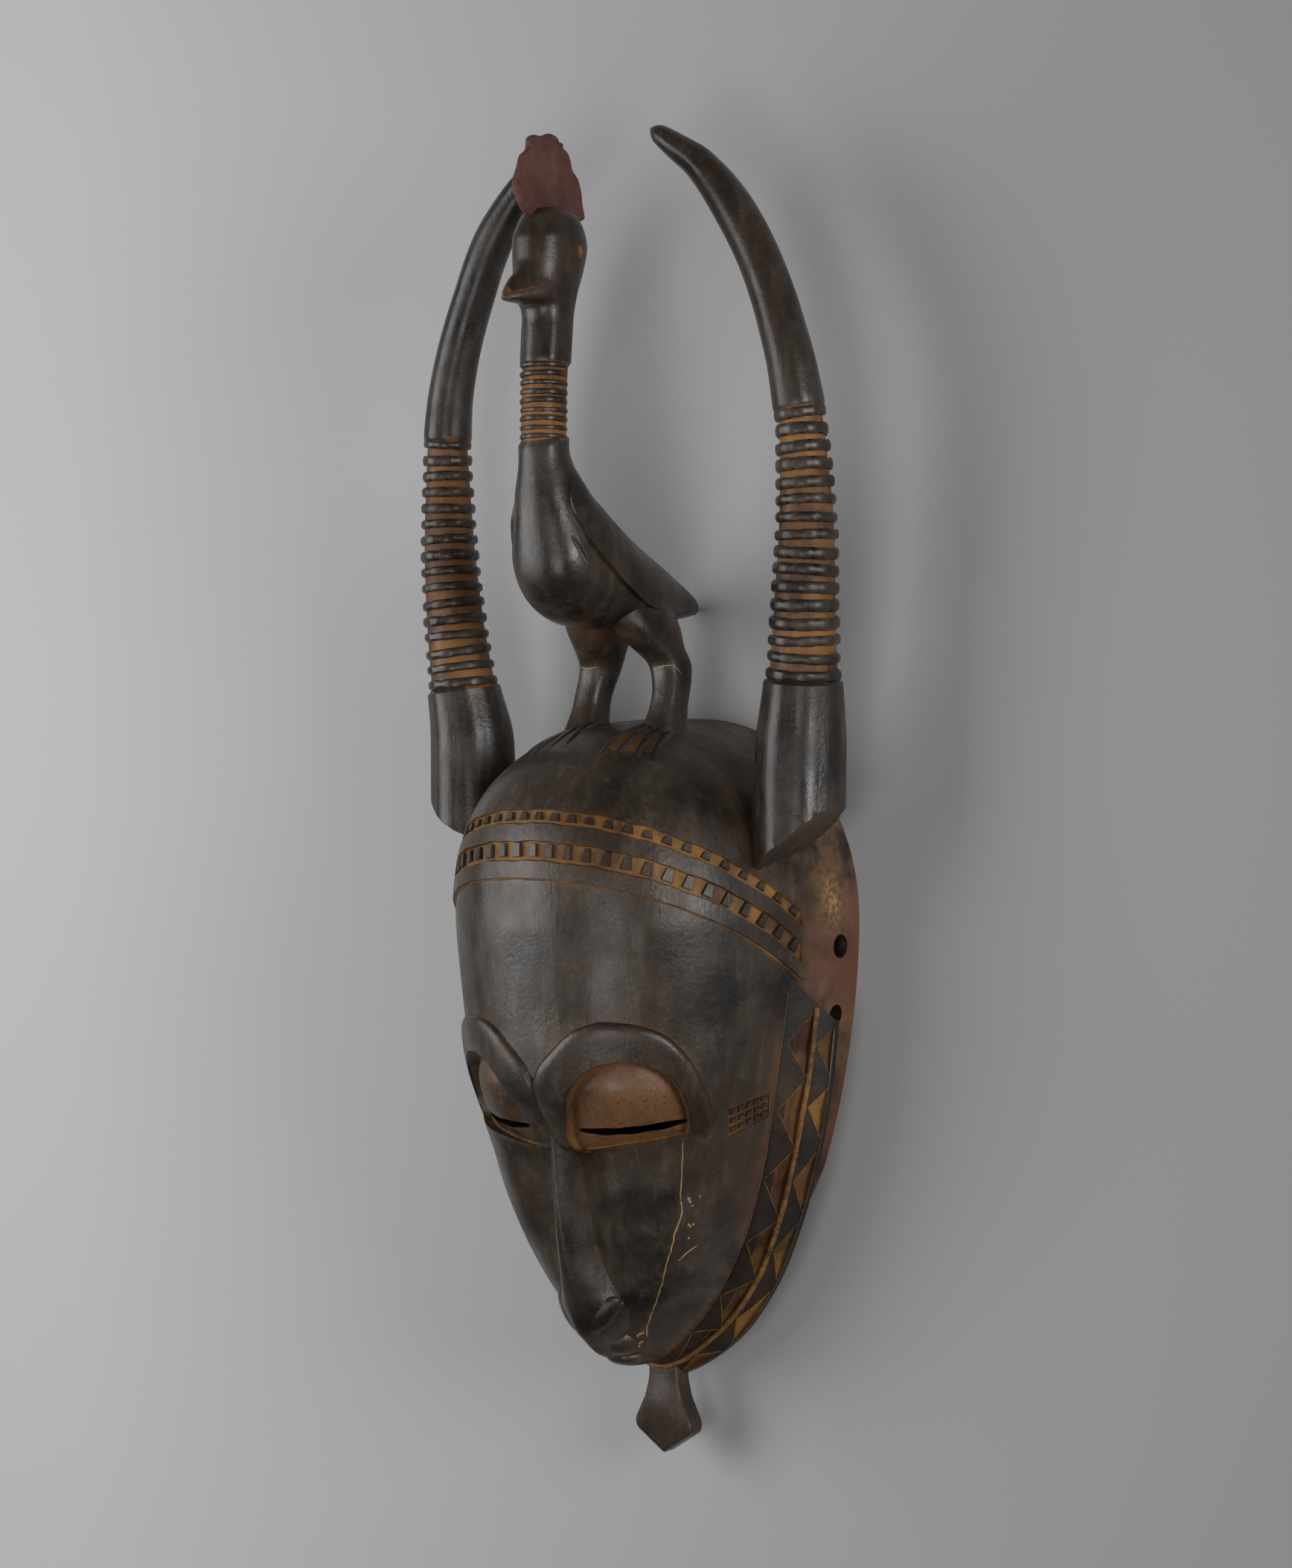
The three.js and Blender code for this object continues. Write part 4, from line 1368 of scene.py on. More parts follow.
@dataclass
class HeadBand(Carving):
    """Two sunken ochre grooves with dark studs standing in them, and the scars on the cheeks."""

    grooves: tuple[tuple[float, float], ...] = ((-2.5, -7.5), (-13.8, -20.8))
    # studs in each groove, and the depth of the grooves; the sill is left below the studs
    studs: int = 30
    stud_width: float = 4.9
    depth: float = 1.5
    sill: float = 1.5
    scar_counts: tuple[int, int] = (5, 3)
    scar_corners: tuple = ((73.0, -109.6), (92.0, -105.0), (69.8, -119.4), (89.3, -113.4))
    plug_middle: Place = (45.5, -31.8, 90.3)
    plug_half: Place = (1.3, 1.3, 0.7)

    def groove_cutters(self) -> list[Solid]:
        """Cutters swept along both grooves.

        Returns:
            The cutters.
        """
        made = []
        fraction = np.linspace(-self.form.band_end, self.form.band_end, 141)
        wobble = 0.2 * np.sin(fraction * 41) + 0.14 * np.sin(fraction * 97 + 1)
        for top, bottom in self.grooves:
            corners = [
                (top, 3.0), (top + 0.15, 0.0), (top - 0.25, -self.depth),
                (bottom + 0.3, -self.depth), (bottom - 0.15, 0.0), (bottom, 3.0),
            ]
            lines = [self.form.carved(row + wobble, fraction, off) for row, off in corners]
            made.append(self.shop.loft("groove", np.stack(lines, axis=1), Finish.OCHRE))
        return made

    def hairline(self) -> Solid:
        """Ochre left in the step under the lower band.

        Returns:
            The line.
        """
        fraction = np.linspace(-self.form.band_end, self.form.band_end, 120)
        path = self.form.carved(self.form.hairline - 0.25, fraction, 0.05)
        return self.shop.ridge("hairline", path, 0.42 + 0.16 * np.sin(fraction * 60), Finish.OCHRE, 6)

    def stud_rows(self) -> list[Solid]:
        """Studs in both grooves, as stamped rows.

        Returns:
            One row for each groove.
        """
        made = []
        for number, (top, bottom) in enumerate(self.grooves):
            height = top - bottom - self.sill - 0.45
            middle = bottom + self.sill + height / 2
            places = (np.arange(self.studs) + 0.5) / self.studs * 2 - 1
            points, axes = zip(*(self.form.axes(middle, f * self.form.band_end) for f in places))
            points = np.array(points) - np.array(axes)[:, 2] * (self.depth + 0.4)
            tall = (self.depth + 0.3) / 1.6
            stamping = Stamping(Stamp.STUD, self.stud_width, height, tall, 0.16, 3 + number, Finish.STAIN)
            made.append(stamping.run(self.shop, "studs", points, np.array(axes), np.ones((self.studs, 3))))
        return made

    def scars(self) -> list[Solid]:
        """Small squares of a scar pattern beside each brow.

        Returns:
            The squares of each side.
        """
        made = []
        corners = np.array(self.scar_corners)
        columns, rows = self.scar_counts
        for side in SIDES:
            points, axes = [], []
            for row in range(rows):
                for column in range(columns):
                    s, t = (column + 0.5) / columns, (row + 0.5) / rows
                    u, y = mix(mix(corners[0], corners[1], s), mix(corners[2], corners[3], s), t)
                    near = self.form.at(side * (u + SCAR_STEPS[0]), y + SCAR_STEPS[1])
                    along = unit(near[1] - near[2]) * side
                    off = unit(np.cross(along, near[3] - near[4]))
                    points.append(near[0] - off * 1.0)
                    axes.append([along, np.cross(off, along), off])
            stamping = Stamping(Stamp.SCAR, 3.3, 2.5, 1.25 / 1.6, 0.22, 11, Finish.STAIN)
            sizes = np.ones((len(points), 3))
            made.append(stamping.run(self.shop, "scars", np.array(points), np.array(axes), sizes))
        return made

    def scar_fields(self) -> list[Solid]:
        """Cutters of the shallow fields in which the scars stand.

        Returns:
            The cutters.
        """
        made = []
        corners = np.array(self.scar_corners)
        t = np.linspace(-0.03, 1.02, 14)[:, None]
        top, low = mix(corners[0], corners[1], t), mix(corners[2], corners[3], t)
        top, low = mix(top, low, -0.04), mix(low, top, -0.04)
        for side in SIDES:
            lines = [
                self.form.at(side * edge[:, 0], edge[:, 1], off)
                for edge, off in ((top, -0.75), (top, 3.0), (low, 3.0), (low, -0.75))
            ]
            made.append(self.shop.loft("scar_field", np.stack(lines, axis=1), Finish.BROWN))
        return made

    def plug(self) -> Solid:
        """Small filled hole in the forehead under the band."""
        return self.shop.loft("plug", pebble(self.plug_middle, self.plug_half), Finish.OCHRE)


# ---------------------------------------------------------------- collar
@dataclass
class Collar(Carving):
    """Slanted collar round the lower face with two rows of chips and a cord between them."""

    inner: tuple = (
        (69.2, -63.5, 38.3), (63.2, -95.5, 38), (58.5, -120.5, 37), (50.2, -145.9, 33.8),
        (39.4, -168.5, 31.6), (24.8, -189.2, 31.8), (0, -206.8, 35.4),
    )
    outer: tuple = (
        (78.1, -79.5, 22), (74.8, -106.5, 22), (68.8, -131.5, 21), (60.6, -155.5, 20), (48.7, -180, 19),
        (30.3, -202.5, 19), (0, -217.5, 18),
    )
    edge: float = 2.4
    chip_depth: float = 2.5
    # share of that depth at a chip's tip, first corner, middle of the base and last corner
    chip_floor: tuple[float, ...] = (0.32, 0.25, 1.0, 0.25)
    cord_width: float = 2.1
    cord_line: Curve = Curve(
        [
            (0.0, 0.585), (0.041, 0.6), (0.089, 0.595), (0.129, 0.575), (0.169, 0.575), (0.209, 0.58),
            (0.25, 0.59), (0.294, 0.605), (0.328, 0.62), (0.366, 0.615), (0.396, 0.6), (0.43, 0.595),
            (0.456, 0.6), (0.5, 0.62),
        ]
    )
    # place of the tip along and across the collar, place of the base along and across it, and width
    inner_chips: tuple = (
        (0.0567, 0.12, 0.0447, 0.545, 0.066), (0.134, 0.1, 0.1243, 0.53, 0.08),
        (0.2205, 0.08, 0.211, 0.53, 0.082), (0.3044, 0.1, 0.297, 0.56, 0.076),
        (0.3838, 0.12, 0.376, 0.56, 0.071), (0.4405, 0.2, 0.446, 0.54, 0.056),
    )
    outer_chips: tuple = (
        (0.0397, 0.67, 0.035, 0.985, 0.054), (0.1104, 0.66, 0.1065, 0.985, 0.062),
        (0.2043, 0.66, 0.194, 0.985, 0.08), (0.2941, 0.68, 0.2855, 0.985, 0.078),
        (0.3917, 0.69, 0.3775, 0.985, 0.08), (0.455, 0.69, 0.46, 0.985, 0.056),
    )
    # corners of the cutter that frees the collar's face, and stations of that face: place across and off it
    recess_corners: tuple = ((0.0, -0.4), (0.0, 9.0), (0.8, 9.0), (0.8, -0.4))
    face_stations: tuple = (
        (-0.25, -2.5), (0.0, 0.0), (0.25, 0.0), (0.5, 0.0), (0.75, 0.0), (0.94, 0.0), (1.0, -0.35),
    )

    def __post_init__(self) -> None:
        """Sample both edges, from the right top end round the chin to the left one."""
        self.along = np.linspace(0, 1, 721)
        self.inner_line = self.edge_line(self.inner)
        self.outer_line = self.edge_line(self.outer)

    def edge_line(self, right: Sequence[Sequence[float]]) -> Array:
        """Centripetal smooth line through the points of the right side and their mirror images.

        Args:
            right: points of the right side, from the top end to the chin.

        Returns:
            Rows of x, y, z.
        """
        points = np.array(list(right) + [(-x, y, z) for x, y, z in reversed(right[:-1])], float)
        padded = np.concatenate([[2 * points[0] - points[1]], points, [2 * points[-1] - points[-2]]])
        spans = len(points) - 1
        place = self.along * spans
        i = np.minimum(place.astype(int), spans - 1)
        t = (place - i)[:, None]
        p0, p1, p2, p3 = (padded[i + k] for k in range(4))
        pairs = ((p0, p1), (p1, p2), (p2, p3))
        knots = [np.linalg.norm(b - a, axis=1, keepdims=True) ** 0.5 for a, b in pairs]
        m1 = knots[1] * ((p1 - p0) / knots[0] - (p2 - p0) / (knots[0] + knots[1]) + (p2 - p1) / knots[1])
        m2 = knots[1] * ((p2 - p1) / knots[1] - (p3 - p1) / (knots[1] + knots[2]) + (p3 - p2) / knots[2])
        start, leave, end, arrive = blend_shares(t)
        return start * p1 + leave * m1 + end * p2 + arrive * m2

    def at(self, along: Any, across: Any, off: Any = 0.0) -> Array:
        """Points on the collar's slanted face.

        Args:
            along: from 0 at the right top end to 1 at the left one.
            across: from 0 at the face to 1 at the outer edge.
            off: distance off the slanted face.

        Returns:
            Rows of x, y, z.
        """
        along, across, off = spread(along, across, off)

        def pick(line: Array, place: Array) -> Array:
            """Point of a sampled line.

            Args:
                line: the line.
                place: places along it.

            Returns:
                Rows of x, y, z.
            """
            return np.stack([np.interp(place, self.along, line[:, k]) for k in range(3)], axis=-1)

        inner, outer = pick(self.inner_line, along), pick(self.outer_line, along)
        ahead = pick(self.outer_line, np.minimum(along + 0.004, 1))
        run = ahead - pick(self.outer_line, np.maximum(along - 0.004, 0))
        normal = unit(np.cross(outer - inner, run))
        normal = normal * np.where(normal[..., 2:] < 0, -1, 1)
        return mix(inner, outer, across[..., None]) + normal * off[..., None]

    def recess(self) -> Solid:
        """Cutter that frees the collar's face from the head, which leaves a low wall at its inner line.

        Returns:
            The cutter.
        """
        along = np.linspace(0, 1, 161)
        lines = [self.at(along, across, off) for across, off in self.recess_corners]
        return self.shop.loft("recess", np.stack(lines, axis=1), Finish.FLAT)

    def ring_body(self) -> Solid:
        """The collar itself.

        Returns:
            The collar.
        """
        along = np.linspace(0, 1, 141)
        lines = [self.at(along, across, off) for across, off in self.face_stations]
        edge = self.at(along, 1.0)
        middle = np.stack([np.zeros(len(along)), edge[:, 1] * 0.55 - 30, edge[:, 2]], axis=1)
        inward = unit(middle - edge)
        drop = np.array([0, 0, 1.0])
        lines += [edge - drop * self.edge, edge + inward * 4 - drop * (self.edge + 1)]
        lines.append(edge + inward * 12 - drop * 5)
        return self.shop.loft("collar", np.stack(lines, axis=1), Finish.FLAT)

    def cord(self) -> Solid:
        """Ochre cord between the two rows of chips, pitted by the knife.

        Returns:
            The cord.
        """
        along = np.linspace(0.004, 0.996, 320)
        path = self.at(along, self.cord_line(np.minimum(along, 1 - along)), 0.25)
        radius = self.cord_width / 2 * (1 + 0.16 * ripple(path, 2.4, 2.0))
        return self.shop.ridge("cord", path, radius, Finish.OCHRE, 8)

    def chip_lines(self) -> list[Solid]:
        """Thin ochre lines where the ochre is worn through along the edges of the chips.

        Returns:
            The lines.
        """
        made = []
        for tip_along, tip, base_along, base, share in self.inner_chips + self.outer_chips:
            for side in SIDES:
                along = np.array([base_along - share / 2, tip_along, tip_along, base_along + share / 2])
                along = along if side > 0 else 1 - along
                across = np.array([base, tip, tip, base])
                for k in (0, 2):
                    t = np.linspace(0, 1, 6)
                    line = self.at(mix(along[k], along[k + 1], t), mix(across[k], across[k + 1], t), 0.02)
                    size = 0.2 + 0.08 * np.sin(t * 19 + tip * 50)
                    made.append(self.shop.ridge("chip_line", line, size, Finish.OCHRE, 5))
        return made

    def rim_lip_with_painted_highlight(self) -> Solid:
        """Rounded lip along the collar's outer edge: the lip is real, and its main stain, lighter than the
        collar flats, is a painted highlight along the edge.
        """
        along = np.linspace(0.01, 0.99, 200)
        # the main stain, lighter than the collar flats, paints the highlight that the edge catches
        return self.shop.ridge("rim", self.at(along, 0.99, -0.1), 0.55, Finish.STAIN, 8)

    def skin_line(self, block: Solid) -> Solid:
        """Worn ochre line along the edge of the face's skin, above the recess.

        Args:
            block: the head with its recess.

        Returns:
            The line.
        """
        tree = BVHTree.FromObject(block, bpy.context.evaluated_depsgraph_get())
        points = []
        for along in np.linspace(0.012, 0.988, 260):
            high, low = self.at(along, -0.03, 14.0)[0], self.at(along, -0.03, 0.0)[0]
            hit = tree.ray_cast(Vector(high) * MM, Vector(low - high).normalized())[0]
            points.append(low if hit is None else np.array(hit) / MM)
        path = through(points, 260, passes=3)
        return self.shop.ridge("skin_line", path, 0.42 + 0.18 * ripple(path, 5.0, 12.0), Finish.BROWN, 6)

    def chips(self) -> list[Solid]:
        """Cutters of the chips: two slopes that fall from the tip to the middle of the base.

        Returns:
            The cutters.
        """
        made = []
        for chips, finish in ((self.inner_chips, Finish.BROWN), (self.outer_chips, Finish.OCHRE)):
            for tip_along, tip, base_along, base, share in chips:
                for side in SIDES:
                    along = np.array([tip_along, base_along - share / 2, base_along, base_along + share / 2])
                    along = along if side > 0 else 1 - along
                    across = np.array([tip, base, base, base])
                    low = self.at(along, across, -self.chip_depth * np.array(self.chip_floor))
                    high = self.at(along, across, 2.5)
                    faces = [(0, 1, 2), (0, 2, 3), (7, 6, 5, 4)]
                    faces += [((i + 1) % 4, i, i + 4, (i + 1) % 4 + 4) for i in range(4)]
                    made.append(self.shop.solid("chip", np.concatenate([low, high]), faces, finish))
        return made


# ---------------------------------------------------------------- horns
@dataclass
class Horns(Carving):
    """Two curved horns with rings round their lower half and obliquely cut feet."""

    line: Curve = Curve(
        [
            (246.1, 21, 57.6, 2.2), (243.5, 24.5, 57.5, 3.6), (238.5, 31.2, 57, 4.8),
            (230.3, 42.1, 56.3, 6.1), (211.5, 57.2, 55.5, 7.7), (191.5, 67.7, 54.1, 8),
            (171.5, 75.3, 53.8, 8.4), (151.5, 80.4, 52.8, 9), (131.5, 82.8, 51.1, 10),
            (101.5, 83.5, 49.3, 11.6), (71.5, 81.9, 47.9, 12.9), (43.5, 79.5, 45.3, 14.3),
            (21.5, 77, 43, 16.4), (-32, 75.5, 43, 17.2),
        ]
    )
    # end of the horn, steps from it to the first sections, and the limit just inside the CAD's box
    tip: float = 246.1
    tip_steps: tuple = (0.0, 0.15, 0.5, 1.1, 1.9, 2.9, 4.1)
    highest: float = 246.95
    ring_full: float = 0.93
    ring_pillow: float = 0.036
    ring_share: tuple[float, float] = (0.7, 0.62)
    ring_from: float = 140.0
    ring_to: float = 44.0
    rings: int = 16
    groove: float = 1.9
    foot_radii: tuple = (0.05, 4, 8, 11, 13, 14.3, 15.2, 15.9, 16.5, 17.1, 17.8, 27.0)
    # a point of the slanted cut and its height, and how steeply the cut climbs along X and Z
    foot_right: tuple = (88.2, 32.0, -3.8, 0.740, -0.181)
    foot_left: tuple = (88.2, 32.0, 8.0, 0.5435, -0.437)

    def middle(self, y: Array, side: int) -> Array:
        """Middle line of a horn."""
        return np.stack([side * self.line(y, 0), y, self.line(y, 1)], axis=-1)

    def bar(self, side: int) -> Solid:
        """The horn without its rings, thinner where they sit, with the long soft cuts of the knife.

        Args:
            side: 1 for the right, -1 for the left.

        Returns:
            The bar.
        """
        y = np.concatenate([self.tip - np.array(self.tip_steps), np.arange(240.5, -32, -1.9)])
        run = unit(self.middle(y + 1, side) - self.middle(y - 1, side))
        across = unit(np.cross([0, 0, 1.0], run))
        up = np.cross(run, across)
        inside = smooth((self.ring_from - y) / 0.8) * smooth((y - self.ring_to) / 0.8)
        radius = self.line(y, 2) - self.groove * inside
        radius *= np.sqrt(np.clip(1 - ((y - 242.9) / 3.25).clip(0, 1) ** 2, 0, 1))
        angle = circle(54)
        fade = mix(0.35, 1.0, smooth((60 - y) / 20))[:, None]
        soft = 0.034 * (np.abs(np.cos(4 * angle + 0.5)) - 0.75)[None, :] * fade
        reach = radius[:, None] * (1 + soft - 0.012)
        points = (
            self.middle(y, side)[:, None, :]
            + across[:, None, :] * (reach * np.cos(angle))[..., None]
            + up[:, None, :] * (reach * np.sin(angle))[..., None]
        )
        points[..., 1] = np.minimum(points[..., 1], self.highest)
        return self.shop.loft("horn", points, Finish.STAIN)

    def foot_cutter(self, side: int) -> Solid:
        """Cutter that leaves the foot of a horn slanted and rough, with a rounded edge.

        Args:
            side: 1 for the right, -1 for the left.

        Returns:
            The cutter.
        """
        px, pz, height, slope_x, slope_z = self.foot_right if side > 0 else self.foot_left
        radius = np.array(self.foot_radii)[:, None]
        angle = circle(48)[None, :]
        x, z = 75.9 + radius * np.cos(angle), 43.0 + radius * np.sin(angle)
        edge = 2.2 * smooth((radius / 17.2 - 0.84) / 0.2) ** 1.5
        y = height + slope_x * (x - px) + slope_z * (z - pz) + edge
        top = np.stack([side * x, y, z], axis=-1)
        top[..., 1] += 0.5 * ripple(top, 3.5, 7.0)
        low = top[::-1].copy()
        low[..., 1] = -120.0
        return self.shop.loft("foot_cut", np.concatenate([top, low]), Finish.RAW)

    def ring_row(self, side: int) -> Solid:
        """The raised rings of a horn.

        Args:
            side: 1 for the right, -1 for the left.

        Returns:
            The rings.
        """
        pitch = (self.ring_from - self.ring_to) / self.rings
        share = self.ring_share[0 if side > 0 else 1]
        y = np.linspace(self.ring_from - pitch * share / 2, self.ring_to + pitch * 0.3, 120)
        row = RingRow(self.rings, pitch * share, 8, self.ring_pillow, 31 + side)
        return row.run(self.shop, "horn_rings", self.middle(y, side), self.line(y, 2) * self.ring_full)

    def build(self) -> list[Solid]:
        """Both horns, each with its rings.

        Returns:
            The horns.
        """
        made = []
        for side in SIDES:
            horn = self.bar(side)
            self.shop.cut(horn, self.foot_cutter(side))
            paint_between(horn, self.ring_to - 0.2, self.ring_from - 0.6, Finish.ORANGE)
            self.shop.join(horn, self.ring_row(side))
            made.append(horn)
        return made


def vertex_rows(mesh: bpy.types.Mesh, name: str) -> Array:
    """Places or normals of the vertices of a mesh.

    Args:
        mesh: the mesh.
        name: co or normal.

    Returns:
        Rows of x, y, z.
    """
    rows = np.empty(len(mesh.vertices) * 3)
    mesh.vertices.foreach_get(name, rows)
    return rows.reshape(-1, 3)


def edge_ends(mesh: bpy.types.Mesh) -> Array:
    """Numbers of the vertices at the ends of the edges of a mesh.

    Args:
        mesh: the mesh.

    Returns:
        One row for the first ends and one for the last.
    """
    ends = np.empty(len(mesh.edges) * 2, np.int32)
    mesh.edges.foreach_get("vertices", ends)
    return ends.reshape(-1, 2).T


def soften(obj: Solid, low: Sequence[float], high: Sequence[float], passes: int) -> None:
    """Scrape the joints inside a box smooth.

    Args:
        obj: the solid.
        low: lowest corner of the box, in millimetres.
        high: highest corner.
        passes: how often each point moves half way to the middle of its neighbours.
    """
    mesh = obj.data
    places, (a, b) = vertex_rows(mesh, "co"), edge_ends(mesh)
    inner = np.minimum(places / MM - low, np.array(high) - places / MM).min(axis=1)
    weight = 0.5 * smooth(inner / 4.0)[:, None]
    number = np.bincount(np.concatenate([a, b]), minlength=len(places))[:, None]
    for _ in range(passes):
        total = np.zeros_like(places)
        np.add.at(total, a, places[b])
        np.add.at(total, b, places[a])
        places = mix(places, total / number, weight)
    mesh.vertices.foreach_set("co", places.ravel())
    mesh.update()


def paint_between(obj: Solid, low: float, high: float, finish: Finish) -> None:
    """Give a finish to the faces of an object between two heights.

    Args:
        obj: the object.
        low: lowest height.
        high: highest height.
        finish: the finish.
    """
    for face in obj.data.polygons:
        if low * MM < face.center.y < high * MM:
            face.material_index = finish.value


# ---------------------------------------------------------------- bird
@dataclass
class Bird(Carving):
    """Bird on the crown: body with folded wings, ringed neck, head, beak, comb, legs and toes."""

    # back and front of each section as (z, y), and its half width, from the tail to the crown of the head
    stations: tuple = (
        ((2.2, 74.6), (2.6, 72.2), 2.4), ((12, 78.8), (11, 69.4), 8.0), ((28, 84.5), (27, 66.5), 13),
        ((41.5, 89.5), (41, 64), 17.5), ((54, 95), (58, 62.3), 20), ((65, 101.5), (76.5, 63), 20.5),
        ((74, 108.5), (92.2, 69.5), 19), ((80.5, 114), (100.2, 81.5), 16.5), ((83.5, 119), (102.2, 96), 13.5),
        ((84.8, 124), (102.8, 109), 10.8), ((85.4, 128.5), (102.6, 121), 9), ((85.3, 136), (103, 134), 8.8),
        ((85, 147), (102.8, 147), 8.7), ((84, 159.5), (102, 159.5), 8.7), ((83.1, 173), (101, 173), 9),
        ((81, 183), (103, 179.5), 9.8), ((77.5, 193), (105.8, 188), 11.2),
        ((75.7, 200.5), (106.4, 198), 11.8), ((77.5, 207.5), (103.8, 206.5), 10.6),
        ((82.5, 212.5), (99.5, 212.5), 7.5), ((90, 214.2), (92, 214.2), 1),
    )
    wing_edge: tuple = (
        (0, -0.8), (1, -0.6), (2, -0.46), (3, -0.42), (4, -0.35), (5, -0.15), (6, -0.05), (7, -0.05),
        (8, -0.15), (9, 0.1), (11, 0.5), (20, 0.6),
    )
    wing_rise: float = 2.2
    wing_share: float = 0.55
    neck_from: float = 129.5
    neck_to: float = 158.0
    neck_rings: int = 9
    neck_groove: float = 1.1
    neck_z: float = 94.1
    ring_radius: float = 8.3
    comb: tuple = (
        (91.6, 241), (87.7, 240.1), (86.1, 237.7), (80.9, 235.7), (79.2, 229.8), (75, 227.2), (74, 222.8),
        (72.4, 217.8), (71.3, 212.8), (84, 208), (102, 209.5), (105.5, 211.2), (108.8, 213.5), (110.6, 217.2),
        (110.8, 220.8), (108.8, 226.2), (107.6, 230.2), (103.2, 233.4), (103, 237.4), (100.6, 239),
        (96.3, 238.9),
    )
    comb_thick: float = 2.6
    # distance from a face of the comb, and how much the outline shrinks there
    comb_rim: tuple = ((0.0, 0.5), (0.25, 0.15), (0.6, 0.0))
    eye_middle: Place = (11.7, 197.8, 87.0)
    eye_half: Place = (1.7, 3.0, 2.0)
    eye_axes: tuple = ((1, 0, 0), (0, 0.97, 0.24), (0, -0.24, 0.97))
    mouth: tuple = (
        (0.8, 179.2, 117), (3.4, 180.8, 114), (6.9, 182.6, 109.5), (10, 184.6, 104), (11.5, 186.3, 99),
    )
    tip_from: float = 114.9
    seam_share: float = 0.24
    beak_sections: tuple = (
        (84, 9.6, 178.5, 201), (92, 9.8, 178.3, 199.5), (100, 9.0, 178, 196.5), (106, 6.9, 177.8, 192),
        (111, 4.6, 177.7, 187.4), (114.8, 2.6, 177.8, 183), (117, 0.7, 178.0, 179.8),
    )
    toes_right: tuple = ((14.6, 79.0), (20.2, 78.5), (26.0, 74.5), (31.4, 71.0))
    toes_left: tuple = ((-22.5, 77.0), (-16.0, 80.0), (-9.5, 80.2), (-3.4, 78.0))
    knee_cracks: tuple = (
        ((14.1, 48.9, 47.1), (17.2, 50, 47.6), (21.3, 50.6, 45.8), (22.8, 49, 43.9), (23.5, 47, 42.5)),
        ((-22.9, 49.5, 43.7), (-20.5, 50.5, 46.3), (-12.9, 50.3, 46.6)),
    )
    gouge: tuple = (16.3, 91.4, 94.0)
    gouge_half: Place = (1.0, 8.0, 0.9)
    gouge_axes: tuple = ((-0.52, -0.522, 0.676), (0.19, -0.845, -0.506), (0.81, -0.14, 0.49))
    legs: tuple = (
        ((9, 72, 50), (10, 19)), ((10.7, 65, 47.3), (10, 18)), ((13.1, 58, 44), (9, 13.6)),
        ((16.4, 50, 39.6), (7.4, 8)), ((18.2, 38, 42.3), (6.4, 7.2)), ((18.1, 24, 46.8), (8.2, 9)),
    )

    def body(self) -> Solid:
        """Body, neck and head, with the wings as a raised step on the back.

        Returns:
            The bird without its beak, comb and legs.
        """
        table = Curve([(i, b[0], b[1], f[0], f[1], w) for i, (b, f, w) in enumerate(self.stations)])
        last = len(self.stations) - 1
        ends = [0.0, 0.05, 0.15, 0.3], [last - 0.6, last - 0.3, last - 0.1, last]
        place = np.concatenate([ends[0], np.linspace(0.5, last - 1, 140), ends[1]])
        back = np.stack([table(place, 0), table(place, 1)], axis=1)
        front = np.stack([table(place, 2), table(place, 3)], axis=1)
        half = table(place, 4)
        wing = self.wing_rise * smooth(place / 2.2) * (1 - smooth((place - 7.4) / 1.8))
        edge = Curve(self.wing_edge)(place)
        y_mid = (back[:, 1] + front[:, 1]) / 2
        groove = self.neck_groove * smooth((y_mid - self.neck_from) / 0.6)
        groove *= smooth((self.neck_to - y_mid) / 0.6)
        upper, lower = 15, 17
        theta = np.arccos(np.clip(edge, -0.98, 0.98))
        theta = theta[:, None]
        on_wing = theta * np.linspace(0, 1, upper)[None, :] ** 0.9
        on_breast = theta + 0.012 + (math.pi - theta - 0.012) * np.linspace(0, 1, lower)[None, :] ** 1.1
        right = np.concatenate([on_wing, on_breast], axis=1)
        raised = np.concatenate([np.ones(upper), np.zeros(lower)])
        angle = np.concatenate([right, -right[:, ::-1][:, 1:-1]], axis=1)
        raised = np.concatenate([raised, raised[::-1][1:-1]])[None, :]
        lift = (raised - 1 + self.wing_share) * wing[:, None] - groove[:, None]
        reach = np.hypot(*(back - front).T) / 2
        middle = (back + front) / 2
        towards = (back - front) / np.maximum(2 * reach, 1e-6)[:, None]
        square = 2.25
        cos, sin = np.cos(angle), np.sin(angle)
        shape_c, shape_s = (np.sign(v) * np.abs(v) ** (2 / square) for v in (cos, sin))
        bar = smooth((y_mid - 126) / 6) * (1 - smooth((y_mid - 172) / 8))
        creased = 1 + 0.05 * bar[:, None] * (0.55 - np.abs(np.sin(3 * angle)))
        x = (half[:, None] * shape_s) * creased + lift * sin
        along = (reach[:, None] * shape_c) * creased + lift * cos
        points = np.stack(
            [x, middle[:, 1:2] + towards[:, 1:2] * along, middle[:, :1] + towards[:, :1] * along], axis=-1
        )
        made = self.shop.loft("bird", points, Finish.STAIN)
        paint_between(made, self.neck_from + 0.4, self.neck_to - 0.4, Finish.ORANGE)
        return made

    def ring_row(self) -> Solid:
        """Rings of the neck.

        Returns:
            The rings.
        """
        pitch = (self.neck_to - self.neck_from) / self.neck_rings
        y = np.linspace(self.neck_from + pitch * 0.45, self.neck_to - pitch * 0.4, 60)
        path = np.stack([np.zeros_like(y), y, np.full_like(y, self.neck_z)], axis=1)
        row = RingRow(self.neck_rings, pitch * 0.62, 7, 0.045, 41)
        return row.run(self.shop, "neck_rings", path, np.full_like(y, self.ring_radius))

